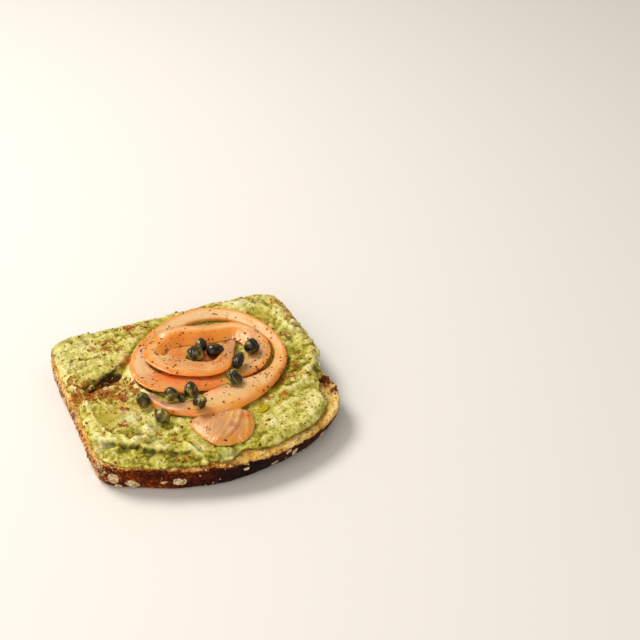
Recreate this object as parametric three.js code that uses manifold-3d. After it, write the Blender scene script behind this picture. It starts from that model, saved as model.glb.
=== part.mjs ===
// Avocado toast: a slice of oat-crusted brown bread, thickly spread with mashed avocado, with a
// loose rosette of smoked salmon and twelve capers on top. Millimetres, +Z up, X across the slice
// and +Y towards its flat heel. The origin is under the middle of the slice, on the table.
import * as THREE from 'three';
import { mergeVertices } from 'three/addons/utils/BufferGeometryUtils.js';
import Module from 'manifold-3d';

const wasm = await Module();
wasm.setup();

// Driving dimensions
const sliceThickness = 14; // bread, table to cut face
const gap = 0.3; // clearance between neighbouring pieces
const crustUndercut = 1.3; // how far the crust leans in at the foot, all round
const domeUndercut = 4.7; // the same, added under the right half of the domed crust
const spreadThickness = 3.1; // mashed avocado, away from its lips and lumps
const pressedThickness = 2.7; // avocado pressed flat by what lies on it
const edgeRound = 3.4; // how far in from its border the avocado reaches its full height
const edgeShare = 0.48; // its thickness at the border, as a share of the full thickness
const gridStep = 2.12; // spacing of the avocado's surface points
const stripThickness = [1.4, 2.0]; // salmon at the inner and at the outer edge of a strip
const stripSlope = [0.22, 0.78]; // across a strip, where its rise to the outer edge starts and ends
const stripStep = 4.4; // length of strip between two cross sections
const rosetteCentre = [7, 10.2];
const rosetteRadius = 41.5;
const tailCentre = [-2, -23.3]; // middle of the folded end's straight side
const tailReach = [14.5, 23.7]; // half width and depth of the folded end
const tailArc = [-176, -14]; // angles between which it spreads from that middle, in degrees
const tailLevel = 17.95; // middle of its thickness where it lies flat
const tailThickness = 1.24;
const tailCrease = [-11.9, -42.6]; // a point on the line where its pleats start
const tailPleat = 3.4; // width of one pleat
const caperSides = 10;

// Side of the bread from the table to the cut face: height, and how far in from the outline
const crustProfile = [
  [0, 1.2], [1.2, 0], [5, -0.1], [9, -0.1], [12.6, 0.1], [13.6, 0.5], [14, 1.4], [14, 5],
];

// Outline of the slice, from the flat heel clockwise round the domed crust
const sliceOutline = [
  [-51.5, 56], [-17, 56.15], [18, 56.15], [47, 56], [58, 52.5], [61.2, 42], [61.1, 22],
  [60.2, 4], [56.6, -9.5], [57.6, -20.5], [56.2, -31.5], [49, -42.2], [33, -51.2], [14, -55.8],
  [-5, -56], [-25, -51], [-44, -42], [-57.2, -34.5], [-61, -23], [-60.9, 5], [-61.1, 36], [-59, 51],
];

// Outline of the avocado: nearly to the crust, short of it at the right front
const spreadOutline = [
  [-50, 55.4], [-20, 55], [10, 55.5], [40, 55.3], [54, 53], [59, 45], [59.6, 30], [60.4, 14],
  [59.8, 1], [57.4, -4.5], [54.5, -14], [50.5, -20], [47.5, -26], [46.5, -34], [42, -40],
  [33, -45.5], [20.5, -49], [17, -51.5], [8, -51.2], [1, -48.8], [-6, -52.4], [-13, -51.2],
  [-24, -48.6], [-36, -44.6], [-46, -40.6], [-55, -35], [-59.3, -26], [-59, -10], [-58.8, 5],
  [-59.6, 22], [-59.6, 40], [-57, 52],
];

// Knife marks in the avocado: the crest's points, its height, and how far it falls away to the
// right and to the left of the crest's direction
const knifeMarks = [
  {
    crest: [[-60, 22], [-56, 13], [-50.5, 12.8], [-46.5, 17], [-41, 20.5], [-30, 25]],
    height: 2.3,
    reach: [1.3, 15],
  },
  { crest: [[-52, 15], [-45, 18.4], [-36, 20]], height: -2.3, reach: [2.6, 1.3] },
  { crest: [[-55, 4], [-54.5, -9], [-51.5, -21]], height: 1.1, reach: [1.2, 1.2] },
  { crest: [[-53.5, -25], [-48.5, -29], [-44, -33]], height: 1.5, reach: [1.2, 5] },
  { crest: [[-39.5, -36], [-33.5, -39], [-28.5, -45]], height: 1.3, reach: [1.2, 5] },
  { crest: [[-36, -21], [-36.8, -29]], height: 1.3, reach: [2, 2.2] },
  { crest: [[-18.5, -46.5], [-5, -49.5], [18, -48], [35, -42.5], [43.5, -35]], height: 0.9, reach: [3, 4] },
  { crest: [[24.5, -21], [35, -22.5], [45, -18], [54, -8]], height: 1.6, reach: [1.3, 5] },
  { crest: [[30, -26], [38, -26.5], [46, -24]], height: -1.1, reach: [2, 1.5] },
  { crest: [[39.5, -6], [49.5, -7.5], [57, -3]], height: 1.2, reach: [1.3, 5] },
  { crest: [[33, 46], [38, 45]], height: 1.4, reach: [5, 5] },
  { crest: [[41.5, 41], [49.5, 26]], height: -1.2, reach: [2.5, 2.5] },
  { crest: [[52, 36], [54, 22], [55, 10]], height: 1.1, reach: [3, 3] },
];

// Places outside the rosette where something presses the avocado: x, y, radius
const pressedSpots = [[-3, -34.5, 17.5], [-31.2, -6.7, 4.6], [-27.3, -20.6, 5]];

// Salmon strips along their centre lines: x, y, width, height of the inner edge and of the outer
const outerStrip = [
  [-27.3, -2.5, 2.4, 18.6, 18.8], [-26, -8, 4, 18.4, 19.2], [-22.8, -13, 6, 18.1, 19.6],
  [-17, -17.3, 8.5, 18.1, 20.2], [-8.5, -19.2, 13, 18.1, 20.2], [2, -18.5, 18.5, 18.1, 20.8],
  [12.5, -16.8, 18, 18.1, 20.8], [23, -14.2, 12.5, 18.1, 20.8], [32.3, -9.2, 8.5, 18.1, 20.8],
  [38.6, -2, 6.4, 18.1, 20.6], [41.6, 7.5, 5, 18.1, 20.2], [40.9, 17.5, 5.2, 18.1, 20.2],
  [37.6, 26.8, 6, 18.1, 20.3], [32.2, 35.2, 6.8, 18.1, 20.4], [24.3, 41.3, 7.2, 18.1, 20.6],
  [14, 44.2, 7.6, 18.1, 20.8], [3.5, 42.8, 7.6, 18.1, 21], [-5.5, 38.6, 7, 18.1, 21.2],
  [-13.8, 33.4, 6.6, 18.1, 21.4], [-20.3, 26.6, 7, 18.1, 21.4], [-24.6, 17.6, 9.2, 18.2, 21.2],
  [-24, 8.8, 12.8, 18.5, 20.4], [-19, 3.2, 15, 18.9, 19.7], [-10.8, -1, 15, 19.4, 20],
  [-1, -3.2, 12.6, 19.5, 20.2], [8.5, -4, 9.4, 19.5, 20.2], [11.5, -4, 7, 19.5, 20.1],
];
const innerStrip = [
  [15.8, -4.6, 4.6, 18.7, 18.7], [22, -2.2, 9.5, 18.7, 19], [29, 3.2, 11.5, 18.7, 19.8],
  [32, 11, 11.6, 18.7, 20.3], [30.8, 19.4, 11.4, 18.6, 20.8], [25.4, 25.8, 10.6, 18.5, 21],
  [17.5, 26.8, 9.8, 18.4, 21.4], [9, 27.8, 9.8, 18.3, 22.3], [1, 30.2, 10, 18.2, 22.8],
  [-6, 30.6, 9.6, 18.2, 22.8], [-12, 28, 9.6, 18.4, 22.5], [-15.6, 23.6, 10, 18.9, 22.2],
  [-16.4, 18.4, 11.4, 19.5, 22.2], [-14, 13.4, 12.8, 20, 22.4], [-9.6, 8, 13.4, 20.4, 22.6],
  [-3.6, 3.4, 11.5, 20.8, 22.8], [3, 0.8, 11, 20.9, 22.9], [9.2, 0.9, 9.6, 20.8, 22.7],
  [13.6, 4.8, 6.4, 20.6, 22.2], [16.8, 9.8, 4.8, 20.5, 21.9], [19.8, 14.8, 3.6, 20.6, 21.6],
];

// Capers: x, y, z of the middle, diameter, length, heading and pitch of the pointed end
const capers = [
  [1.1, 13.3, 22.05, 7.8, 9.2, 33, 10], [6.4, 19.4, 21.6, 5.6, 7, 70, 30],
  [11, 12.8, 21.6, 6.6, 8.6, -11, 8], [27.6, 7, 23.7, 7.2, 7.8, 60, 25],
  [17.8, -0.2, 23.3, 5.2, 9, 45, 20], [11.6, -11.2, 22.7, 7, 8.8, -75, -15],
  [-31.4, -6.7, 20.7, 6, 7.4, 100, 30], [-19.1, -9.5, 22.3, 6.2, 7, 110, 30],
  [-10, -11.4, 23.5, 6.2, 7.2, 75, 40], [-14.6, -12.1, 20.3, 3.5, 4.4, 60, 10],
  [-9.9, -22.7, 24.65, 6.4, 6.8, -109, 30], [-27.3, -20.6, 20.9, 6.4, 8.4, 110, 20],
];

// Oat flakes on the crust: place along the front as x, height of the middle, length, width
const oatFlakes = [
  [-60.6, 11.2, 3.6, 2], [-61, 7.2, 4.4, 3.4], [-58.5, 5.2, 5.4, 4.6], [-52, 3, 6.4, 3.8],
  [-56, 2, 2.6, 2], [-38.5, 3.4, 2.6, 1.8], [-31.5, 3.4, 7.2, 4.2], [-4, 7.2, 2.8, 2],
  [8, 8.4, 4.2, 2.4], [16, 8.2, 3.2, 2], [24, 9, 3.6, 2.2], [40, 8.6, 6.4, 2.4],
];
// and along the left side as y
const sideFlakes = [[28, 6.6, 7, 2.2], [10, 5.4, 4.4, 2.4], [-12, 7.4, 5, 2.4]];

// Chili flakes on the avocado: middle of a patch, its half size, and how many
const chiliPatches = [
  { at: [-47, 1], spread: [9, 7], count: 9 },
  { at: [-33, 40], spread: [7, 7], count: 4 },
  { at: [-44, -14], spread: [6, 5], count: 3 },
  { at: [36, -31], spread: [6, 6], count: 2 },
];

const breadMaterial = new THREE.MeshStandardMaterial({ color: '#8a5326', roughness: 0.85, metalness: 0 });
const avocadoMaterial = new THREE.MeshStandardMaterial({ color: '#b9c463', roughness: 0.45, metalness: 0 });
const salmonMaterial = new THREE.MeshStandardMaterial({ color: '#ee9c62', roughness: 0.3, metalness: 0 });
const caperMaterial = new THREE.MeshStandardMaterial({ color: '#4b4f2c', roughness: 0.35, metalness: 0 });

function smoothStep(from, to, value) {
  const t = THREE.MathUtils.clamp((value - from) / (to - from), 0, 1);
  return t * t * (3 - 2 * t);
}

function seededRandom(seed) {
  let state = seed;
  return () => {
    state = (state * 48271) % 2147483647;
    return state / 2147483647;
  };
}

// Evenly spaced points of a smooth curve through the given points
function curvePoints(points, closed, count) {
  const vectors = points.map(([x, y]) => new THREE.Vector3(x, y, 0));
  const curve = new THREE.CatmullRomCurve3(vectors, closed, 'catmullrom', 0.5);
  curve.arcLengthDivisions = 1200;
  const spaced = curve.getSpacedPoints(count);
  return closed ? spaced.slice(0, -1) : spaced;
}

function meshGeometry(vertices, triangles) {
  const geometry = new THREE.BufferGeometry();
  geometry.setAttribute('position', new THREE.Float32BufferAttribute(vertices, 3));
  geometry.setIndex(triangles);
  return geometry;
}

// A closed skin over a row of rings with the same number of points, with a fan at each end
function skinRings(rings) {
  const count = rings[0].length;
  const vertices = rings.flat().flatMap((p) => [p.x, p.y, p.z]);
  const triangles = [];
  for (let r = 0; r < rings.length - 1; r += 1) {
    for (let i = 0; i < count; i += 1) {
      const a = r * count + i;
      const b = r * count + ((i + 1) % count);
      triangles.push(a, b, b + count, a, b + count, a + count);
    }
  }
  const last = (rings.length - 1) * count;
  const firstMiddle = rings.length * count;
  for (const ring of [rings[0], rings[rings.length - 1]]) {
    const middle = ring.reduce((sum, p) => sum.add(p), new THREE.Vector3()).divideScalar(count);
    vertices.push(middle.x, middle.y, middle.z);
  }
  for (let i = 0; i < count; i += 1) {
    const next = (i + 1) % count;
    triangles.push(firstMiddle, next, i, firstMiddle + 1, last + i, last + next);
  }
  return meshGeometry(vertices, triangles);
}

function toSolid(geometry) {
  const bare = geometry.clone();
  bare.deleteAttribute('normal');
  bare.deleteAttribute('uv');
  const merged = mergeVertices(bare, 1e-4);
  return new wasm.Manifold(new wasm.Mesh({
    numProp: 3,
    vertProperties: new Float32Array(merged.attributes.position.array),
    triVerts: new Uint32Array(merged.index.array),
  }));
}

function toGeometry(solid) {
  const mesh = solid.getMesh();
  return meshGeometry(mesh.vertProperties, Array.from(mesh.triVerts));
}

// One ring of the slice's side at a height, pulled in by the lean of the crust
function sliceRing(z, inset) {
  const points = curvePoints(sliceOutline, true, 104);
  return points.map((p, i) => {
    const before = points[(i + points.length - 1) % points.length];
    const after = points[(i + 1) % points.length];
    const inward = new THREE.Vector3(after.y - before.y, before.x - after.x, 0).normalize();
    const front = smoothStep(-20, -50, p.y) * smoothStep(-45, 20, p.x);
    const lean = (crustUndercut + domeUndercut * front) * (1 - z / sliceThickness) ** 1.5;
    return new THREE.Vector3(p.x, p.y, z).addScaledVector(inward, inset + lean);
  });
}

// Crust side from the flat underside up to a rounded top edge, then the cut face
function breadSolid() {
  let bread = toSolid(skinRings(crustProfile.map(([z, inset]) => sliceRing(z, inset).reverse())));
  for (const flake of [...frontFlakes(), ...leftFlakes()]) {
    bread = bread.add(toSolid(flake));
  }
  return toGeometry(bread);
}

// A thin flake sunk in a surface: length, width and thickness along its own axes
function flakeGeometry(size, place, normal, turn) {
  const geometry = new THREE.CylinderGeometry(0.36, 0.5, 1, 7, 1);
  geometry.rotateX(Math.PI / 2);
  geometry.scale(...size);
  geometry.rotateZ(turn);
  const facing = new THREE.Quaternion().setFromUnitVectors(new THREE.Vector3(0, 0, 1), normal);
  geometry.applyQuaternion(facing);
  geometry.translate(place.x, place.y, place.z);
  return geometry;
}

// The crust's point and outward direction nearest to a wanted place
function crustPoint(z, distance) {
  const ring = sliceRing(z, 0);
  const nearest = ring.reduce((best, p, i) => (distance(p) < distance(ring[best]) ? i : best), 0);
  const before = ring[(nearest + ring.length - 1) % ring.length];
  const after = ring[(nearest + 1) % ring.length];
  const outward = new THREE.Vector3(before.y - after.y, after.x - before.x, 0).normalize();
  return { place: ring[nearest], outward };
}

function frontFlakes() {
  return oatFlakes.map(([x, z, length, width]) => {
    const { place, outward } = crustPoint(z, (p) => Math.abs(p.x - x) + (p.y > -20 ? 99 : 0));
    return flakeGeometry([width, length, 1.2], place, outward, 0.2 * x);
  });
}

function leftFlakes() {
  return sideFlakes.map(([y, z, length, width]) => {
    const { place, outward } = crustPoint(z, (p) => Math.abs(p.y - y) + (p.x > 0 ? 99 : 0));
    return flakeGeometry([width, length, 1.2], place, outward, 0.2 * y);
  });
}

// Height that one knife mark adds at a point
function markHeight(mark, x, y) {
  let nearest = Infinity;
  let side = 1;
  for (let i = 0; i < mark.crest.length - 1; i += 1) {
    const [ax, ay] = mark.crest[i];
    const [bx, by] = mark.crest[i + 1];
    const lengthSquared = (bx - ax) ** 2 + (by - ay) ** 2;
    const t = THREE.MathUtils.clamp(((x - ax) * (bx - ax) + (y - ay) * (by - ay)) / lengthSquared, 0, 1);
    const distance = Math.hypot(x - ax - t * (bx - ax), y - ay - t * (by - ay));
    if (distance < nearest) {
      nearest = distance;
      side = (bx - ax) * (y - ay) - (by - ay) * (x - ax) > 0 ? 1 : 0;
    }
  }
  return mark.height * Math.exp(-((nearest / mark.reach[side]) ** 2));
}

// Soft lumps of the mash, 8 to 20 mm across
function lumps(x, y) {
  return 0.42 * Math.sin(0.34 * x + 1.7 * Math.sin(0.13 * y + 0.4)) * Math.cos(0.29 * y - 0.8)
    + 0.28 * Math.sin(0.71 * x - 0.43 * y + 2.1) * Math.cos(0.37 * x + 0.66 * y);
}

function spreadHeight(x, y, border) {
  const fromEdge = Math.min(...border.map((p) => Math.hypot(p.x - x, p.y - y)));
  const marks = knifeMarks.reduce((sum, mark) => sum + markHeight(mark, x, y), 0);
  const open = Math.max(spreadThickness + lumps(x, y) + marks, 0.6);
  const rosette = Math.hypot(x - rosetteCentre[0], y - rosetteCentre[1]) - rosetteRadius;
  const spots = pressedSpots.map(([sx, sy, radius]) => Math.hypot(x - sx, y - sy) - radius);
  const pressed = smoothStep(2.2, 0, Math.min(rosette, ...spots));
  const thick = open + (Math.min(open, pressedThickness) - open) * pressed;
  return thick * (edgeShare + (1 - edgeShare) * smoothStep(0, edgeRound, fromEdge));
}

// A block over the whole slice whose top is the avocado's surface
function spreadBlock(bottom, border) {
  const half = [62.4, 58.24];
  const nx = Math.round((2 * half[0]) / gridStep) + 1;
  const ny = Math.round((2 * half[1]) / gridStep) + 1;
  const vertices = [];
  const rim = [];
  for (let j = 0; j < ny; j += 1) {
    for (let i = 0; i < nx; i += 1) {
      const x = -half[0] + i * gridStep;
      const y = -half[1] + j * gridStep;
      vertices.push(x, y, bottom + spreadHeight(x, y, border));
    }
  }
  const triangles = [];
  for (let j = 0; j < ny - 1; j += 1) {
    for (let i = 0; i < nx - 1; i += 1) {
      const a = j * nx + i;
      triangles.push(a, a + 1, a + nx + 1, a, a + nx + 1, a + nx);
    }
  }
  for (let i = 0; i < nx - 1; i += 1) rim.push(i);
  for (let j = 0; j < ny - 1; j += 1) rim.push(j * nx + nx - 1);
  for (let i = nx - 1; i > 0; i -= 1) rim.push((ny - 1) * nx + i);
  for (let j = ny - 1; j > 0; j -= 1) rim.push(j * nx);
  const first = vertices.length / 3;
  rim.forEach((index) => vertices.push(vertices[3 * index], vertices[3 * index + 1], bottom));
  const middle = vertices.length / 3;
  vertices.push(0, 0, bottom);
  rim.forEach((top, k) => {
    const next = (k + 1) % rim.length;
    triangles.push(top, first + k, first + next, top, first + next, rim[next]);
    triangles.push(middle, first + next, first + k);
  });
  return meshGeometry(vertices, triangles);
}

// The block trimmed to the avocado's outline, with the larger chili flakes sunk in its surface
function avocadoSolid() {
  const bottom = sliceThickness + gap;
  const border = curvePoints(spreadOutline, true, 520);
  const corners = border.filter((_, i) => i % 4 === 0);
  const outline = new THREE.Shape(corners.map((p) => new THREE.Vector2(p.x, p.y)));
  const prism = new THREE.ExtrudeGeometry(outline, { depth: 12, bevelEnabled: false });
  prism.translate(0, 0, bottom - 1);
  let avocado = toSolid(spreadBlock(bottom, border)).intersect(toSolid(prism));
  const random = seededRandom(11);
  for (const patch of chiliPatches) {
    for (let n = 0; n < patch.count; n += 1) {
      const x = patch.at[0] + patch.spread[0] * (2 * random() - 1);
      const y = patch.at[1] + patch.spread[1] * (2 * random() - 1);
      const place = new THREE.Vector3(x, y, bottom + spreadHeight(x, y, border));
      const size = [2.2 + random(), 1.5 + 0.6 * random(), 1];
      const flake = flakeGeometry(size, place, new THREE.Vector3(0, 0, 1), 6.3 * random());
      avocado = avocado.add(toSolid(flake));
    }
  }
  return toGeometry(avocado);
}

// Points and heights of a strip's stations, smoothly filled in between
function stripStations(stations) {
  const at = (columns) => new THREE.CatmullRomCurve3(
    stations.map((s) => new THREE.Vector3(...columns.map((c) => s[c] ?? 0))), false, 'catmullrom', 0.5,
  );
  const path = at([0, 1, 5]);
  const section = at([2, 3, 4]);
  const count = Math.round(path.getLength() / stripStep);
  return Array.from({ length: count + 1 }, (_, i) => {
    const t = path.getUtoTmapping(i / count);
    const [middle, along, values] = [path.getPoint(t), path.getTangent(t), section.getPoint(t)];
    return { middle, outward: new THREE.Vector3(along.y, -along.x, 0), values };
  });
}

// One cross section of a strip: up over the top from its inner to its outer edge, back beneath
function stripRing({ middle, outward, values }) {
  const [width, inner, outer] = [values.x, values.y, values.z];
  const across = [-1, -0.82, -0.3, 0.3, 0.82, 1, 0.82, 0.3, -0.3, -0.82];
  const probe = 0.05;
  return across.map((v, i) => {
    const s = (v + 1) / 2;
    const rise = (share) => (outer - inner) * smoothStep(...stripSlope, share);
    const slope = (rise(s + probe) - rise(s - probe)) / (2 * probe * width);
    const normal = outward.clone().multiplyScalar(-slope).setZ(1).normalize();
    const thick = stripThickness[0] + (stripThickness[1] - stripThickness[0]) * s;
    const lift = 0.5 * thick * Math.sqrt(1 - v ** 6) * (i < 5 ? 1 : -1);
    return middle.clone().addScaledVector(outward, 0.5 * v * width).setZ(inner + rise(s))
      .addScaledVector(normal, lift);
  });
}

function stripGeometry(stations) {
  return skinRings(stripStations(stations).map(stripRing));
}

// Height of the folded end's middle layer: smooth at the left, pleated right of the crease
function tailHeight(x, y, reach) {
  const beyond = (x - tailCrease[0]) * 0.63 - (y - tailCrease[1]) * 0.78;
  const pleats = 0.35 + 0.5 * Math.abs(Math.sin((Math.PI * beyond) / tailPleat));
  const under = smoothStep(-24, -31, y);
  return tailLevel + 0.5 * under * (1 - reach ** 2) + pleats * smoothStep(0, 0.8, beyond) * under;
}

// The salmon's folded end: a half round fan that lies on the avocado in front of the rosette
function tailGeometry() {
  const spokes = 26;
  const steps = 6;
  const rings = [];
  for (let k = 0; k <= spokes; k += 1) {
    const angle = THREE.MathUtils.degToRad(tailArc[0] + ((tailArc[1] - tailArc[0]) * k) / spokes);
    const point = (reach, side) => {
      const x = tailCentre[0] + reach * tailReach[0] * Math.cos(angle);
      const y = tailCentre[1] + reach * tailReach[1] * Math.sin(angle);
      const lift = 0.5 * tailThickness * Math.sqrt(1 - reach ** 8) * side;
      return new THREE.Vector3(x, y, tailHeight(x, y, reach) + lift);
    };
    const reaches = Array.from({ length: steps + 1 }, (_, i) => 0.12 + (0.88 * i) / steps);
    const above = reaches.map((reach) => point(reach, 1));
    const below = reaches.slice(0, -1).reverse().map((reach) => point(reach, -1));
    rings.push([...above, ...below]);
  }
  return skinRings(rings);
}

// A bud: round at the stem, widest before the middle and drawn out to a blunt point
function caperGeometry(diameter, length) {
  const profile = [];
  const steps = 7;
  for (let i = 0; i <= steps; i += 1) {
    const angle = (Math.PI * i) / steps;
    const fullness = Math.sin(angle) ** 0.85 * (1 + 0.12 * Math.cos(angle));
    const radius = i % steps === 0 ? 0 : 0.5 * diameter * fullness;
    profile.push(new THREE.Vector2(radius, -0.5 * length * Math.cos(angle)));
  }
  return new THREE.LatheGeometry(profile, caperSides);
}

const avocadoToast = new THREE.Group();
avocadoToast.name = 'avocado_toast';

function addPiece(name, geometry, material) {
  const piece = new THREE.Mesh(geometry, material);
  piece.name = name;
  avocadoToast.add(piece);
  return piece;
}

addPiece('bread', breadSolid(), breadMaterial);
addPiece('avocado', avocadoSolid(), avocadoMaterial);
addPiece('salmon_outer', stripGeometry(outerStrip), salmonMaterial);
addPiece('salmon_inner', stripGeometry(innerStrip), salmonMaterial);
addPiece('salmon_tail', tailGeometry(), salmonMaterial);
capers.forEach(([x, y, z, diameter, length, heading, pitch], i) => {
  const name = `caper_${String(i + 1).padStart(2, '0')}`;
  const caper = addPiece(name, caperGeometry(diameter, length), caperMaterial);
  const across = Math.cos(THREE.MathUtils.degToRad(pitch));
  const angle = THREE.MathUtils.degToRad(heading);
  const pointing = new THREE.Vector3(
    across * Math.cos(angle), across * Math.sin(angle), Math.sin(THREE.MathUtils.degToRad(pitch)),
  );
  caper.quaternion.setFromUnitVectors(new THREE.Vector3(0, 1, 0), pointing);
  caper.position.set(x, y, z);
});

export default avocadoToast;
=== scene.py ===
import math

import bpy
import numpy as np
from mathutils import Matrix, Vector


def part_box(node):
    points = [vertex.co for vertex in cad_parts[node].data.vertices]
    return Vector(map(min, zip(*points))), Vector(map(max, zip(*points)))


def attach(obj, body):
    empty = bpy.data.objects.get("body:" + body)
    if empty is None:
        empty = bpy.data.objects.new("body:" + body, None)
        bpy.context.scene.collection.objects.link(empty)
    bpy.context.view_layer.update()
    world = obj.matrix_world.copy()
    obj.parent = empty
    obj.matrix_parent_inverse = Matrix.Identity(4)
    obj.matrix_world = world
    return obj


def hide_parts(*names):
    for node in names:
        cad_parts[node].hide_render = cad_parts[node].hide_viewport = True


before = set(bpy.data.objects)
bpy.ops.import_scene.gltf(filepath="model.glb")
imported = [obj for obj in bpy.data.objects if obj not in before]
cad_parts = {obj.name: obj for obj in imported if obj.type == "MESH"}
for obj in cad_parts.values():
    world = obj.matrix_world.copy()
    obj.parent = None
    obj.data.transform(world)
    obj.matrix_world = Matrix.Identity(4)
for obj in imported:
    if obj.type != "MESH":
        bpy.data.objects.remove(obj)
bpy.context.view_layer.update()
mm = 0.001
breadTop = 1000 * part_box("bread")[1].z  # the cut face that everything lies on, in mm
print("frame loaded:", len(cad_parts), "nodes")


# small helpers, all in millimetres until a mesh is made

def smoothStep(start, end, value):
    share = np.clip((value - start) / (end - start), 0, 1)
    return share * share * (3 - 2 * share)


def scramble(key):  # turns whole numbers into unrelated whole numbers
    key = (key ^ (key >> 15)) * 2246822519 & 0x7FFFFFFF
    key = (key ^ (key >> 13)) * 3266489917 & 0x7FFFFFFF
    return (key ^ (key >> 16)) & 0xFFFF


def latticeNoise(points, blobSize, seed):  # soft noise from -1 to 1, in blobs of this size
    scaled = np.asarray(points, float) / blobSize + 17.3 * seed
    cell = np.floor(scaled).astype(np.int64)
    part = scaled - cell
    blend = part * part * (3 - 2 * part)
    primes = (73856093, 19349663, 83492791)
    total = np.zeros(len(scaled))
    for corner in range(2 ** scaled.shape[1]):
        key = np.full(len(scaled), seed * 6971 + 13, np.int64)
        weight = np.ones(len(scaled))
        for axis in range(scaled.shape[1]):
            step = (corner >> axis) & 1
            key ^= (cell[:, axis] + step) * primes[axis]
            weight *= blend[:, axis] if step else 1 - blend[:, axis]
        total += weight * (scramble(key) / 32767.5 - 1)
    return total


def billow(points, blobSize, seed):  # rounded lumps with sharp creases between them
    return 2.6 * np.abs(latticeNoise(points, blobSize, seed)) - 0.75


def lumpCells(spots, spacing, seed):  # distance to the nearest lump's middle, to the next one, and its luck
    scaled = spots / spacing + 11.7 * seed
    cell = np.floor(scaled).astype(np.int64)
    nearest = np.full(len(spots), 9.0)
    second = np.full(len(spots), 9.0)
    luck = np.zeros(len(spots))
    for i in (-1, 0, 1):
        for j in (-1, 0, 1):
            key = (cell[:, 0] + i) * 73856093 ^ (cell[:, 1] + j) * 19349663 ^ seed * 6971
            dx = cell[:, 0] + i + scramble(key) / 65535 - scaled[:, 0]
            dy = cell[:, 1] + j + scramble(key + 1) / 65535 - scaled[:, 1]
            distance = np.hypot(dx, dy)
            luck = np.where(distance < nearest, scramble(key + 2) / 65535, luck)
            second = np.minimum(second, np.maximum(distance, nearest))
            nearest = np.minimum(nearest, distance)
    return nearest * spacing, second * spacing, luck


def throughPoints(points, at):  # smooth curve through the points, at these places along the list
    rows = np.asarray(points, float)
    rows = np.vstack([2 * rows[0] - rows[1], rows, 2 * rows[-1] - rows[-2]])
    index = np.minimum(at.astype(int), len(points) - 2)
    t = (at - index)[:, None]
    a, b, c, d = (rows[index + k] for k in range(4))
    return 0.5 * (2 * b + (c - a) * t + (2 * a - 5 * b + 4 * c - d) * t**2 + (3 * b - a - 3 * c + d) * t**3)


def smoothPath(stations, spacing):  # evenly spaced stations along a smooth open path
    at = np.linspace(0, len(stations) - 1, 4000)
    fine = throughPoints(stations, at)
    travelled = np.r_[0, np.cumsum(np.hypot(*np.diff(fine[:, :2], axis=0).T))]
    count = round(travelled[-1] / spacing)
    even = np.interp(np.linspace(0, travelled[-1], count + 1), travelled, at)
    return throughPoints(stations, even), np.linspace(0, travelled[-1], count + 1)


def smoothLoop(points, count):  # evenly spaced points round a smooth closed outline
    rows = [points[-1], *points, *points[:2]]
    at = np.linspace(1, len(points) + 1, 4000)
    fine = throughPoints(rows, at)
    travelled = np.r_[0, np.cumsum(np.hypot(*np.diff(fine, axis=0).T))]
    even = np.linspace(0, travelled[-1], count, endpoint=False)
    return np.stack([np.interp(even, travelled, fine[:, k]) for k in (0, 1)], 1)


def inwardNormals(loop):  # for an outline that runs clockwise
    along = np.roll(loop, -1, 0) - np.roll(loop, 1, 0)
    return np.stack([along[:, 1], -along[:, 0]], 1) / np.hypot(*along.T)[:, None]


def skinFaces(rings, count):  # quads between rings of points, and a fan at each end
    start = np.arange(rings - 1)[:, None] * count
    here = np.arange(count)[None, :]
    ahead = (here + 1) % count
    quads = np.stack([start + here, start + ahead, start + ahead + count, start + here + count], 2)
    faces = quads.reshape(-1, 4).tolist()
    middle = rings * count
    last = (rings - 1) * count
    faces += [(middle, (i + 1) % count, i) for i in range(count)]
    faces += [(middle + 1, last + i, last + (i + 1) % count) for i in range(count)]
    return faces


def ringSolid(rings):  # rings: array (rings, points, 3), given a middle point at each end
    count = rings.shape[1]
    points = np.vstack([rings.reshape(-1, 3), rings[0].mean(0), rings[-1].mean(0)])
    return points, skinFaces(len(rings), count)


def ringValues(values):  # one value for each ring point, carried on to the two end points
    return np.r_[values.ravel(), values[0].mean(), values[-1].mean()]


def meshPiece(name, points, faces, material, values=None, flip=False):
    mesh = bpy.data.meshes.new(name)
    if flip:
        faces = [tuple(reversed(face)) for face in faces]
    mesh.from_pydata((np.asarray(points) * mm).tolist(), [], faces)
    for label, row in (values or {}).items():
        kind, field = ("FLOAT", "value") if np.ndim(row) == 1 else ("FLOAT_VECTOR", "vector")
        mesh.attributes.new(label, kind, "POINT").data.foreach_set(field, np.asarray(row, np.float32).ravel())
    mesh.shade_smooth()
    mesh.materials.append(material)
    piece = bpy.data.objects.new(name, mesh)
    bpy.context.scene.collection.objects.link(piece)
    return piece


def settle(piece, slot, *nodes):  # hangs the piece on the root body and hides the model's nodes that it stands for
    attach(piece, "root")
    if nodes:
        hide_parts(*nodes)


def linear(hexColour):  # sRGB hex to the linear colour that shaders use
    parts = [int(hexColour[k:k + 2], 16) / 255 for k in (1, 3, 5)]
    return (*[c / 12.92 if c <= 0.04045 else ((c + 0.055) / 1.055) ** 2.4 for c in parts], 1)


def addNode(tree, kind, settings=None, links=None, stops=None):
    node = tree.nodes.new(kind)
    for label, value in (settings or {}).items():
        setattr(node, label, value)
    for socket, value in (links or {}).items():
        if isinstance(value, bpy.types.NodeSocket):
            tree.links.new(value, node.inputs[socket])
        else:
            node.inputs[socket].default_value = value
    for index, (place, hexColour) in enumerate(stops or []):  # the two outer stops come first
        ramp = node.color_ramp.elements
        stop = ramp[index] if index < 2 else ramp.new(place)
        stop.position = place
        stop.color = linear(hexColour)
    return node


def newMaterial(name):  # an empty material and its tree, with the output node
    material = bpy.data.materials.new(name)
    material.use_nodes = True
    tree = material.node_tree
    tree.nodes.clear()
    return material, tree, tree.nodes.new("ShaderNodeOutputMaterial")


# camera, light and floor

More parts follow.
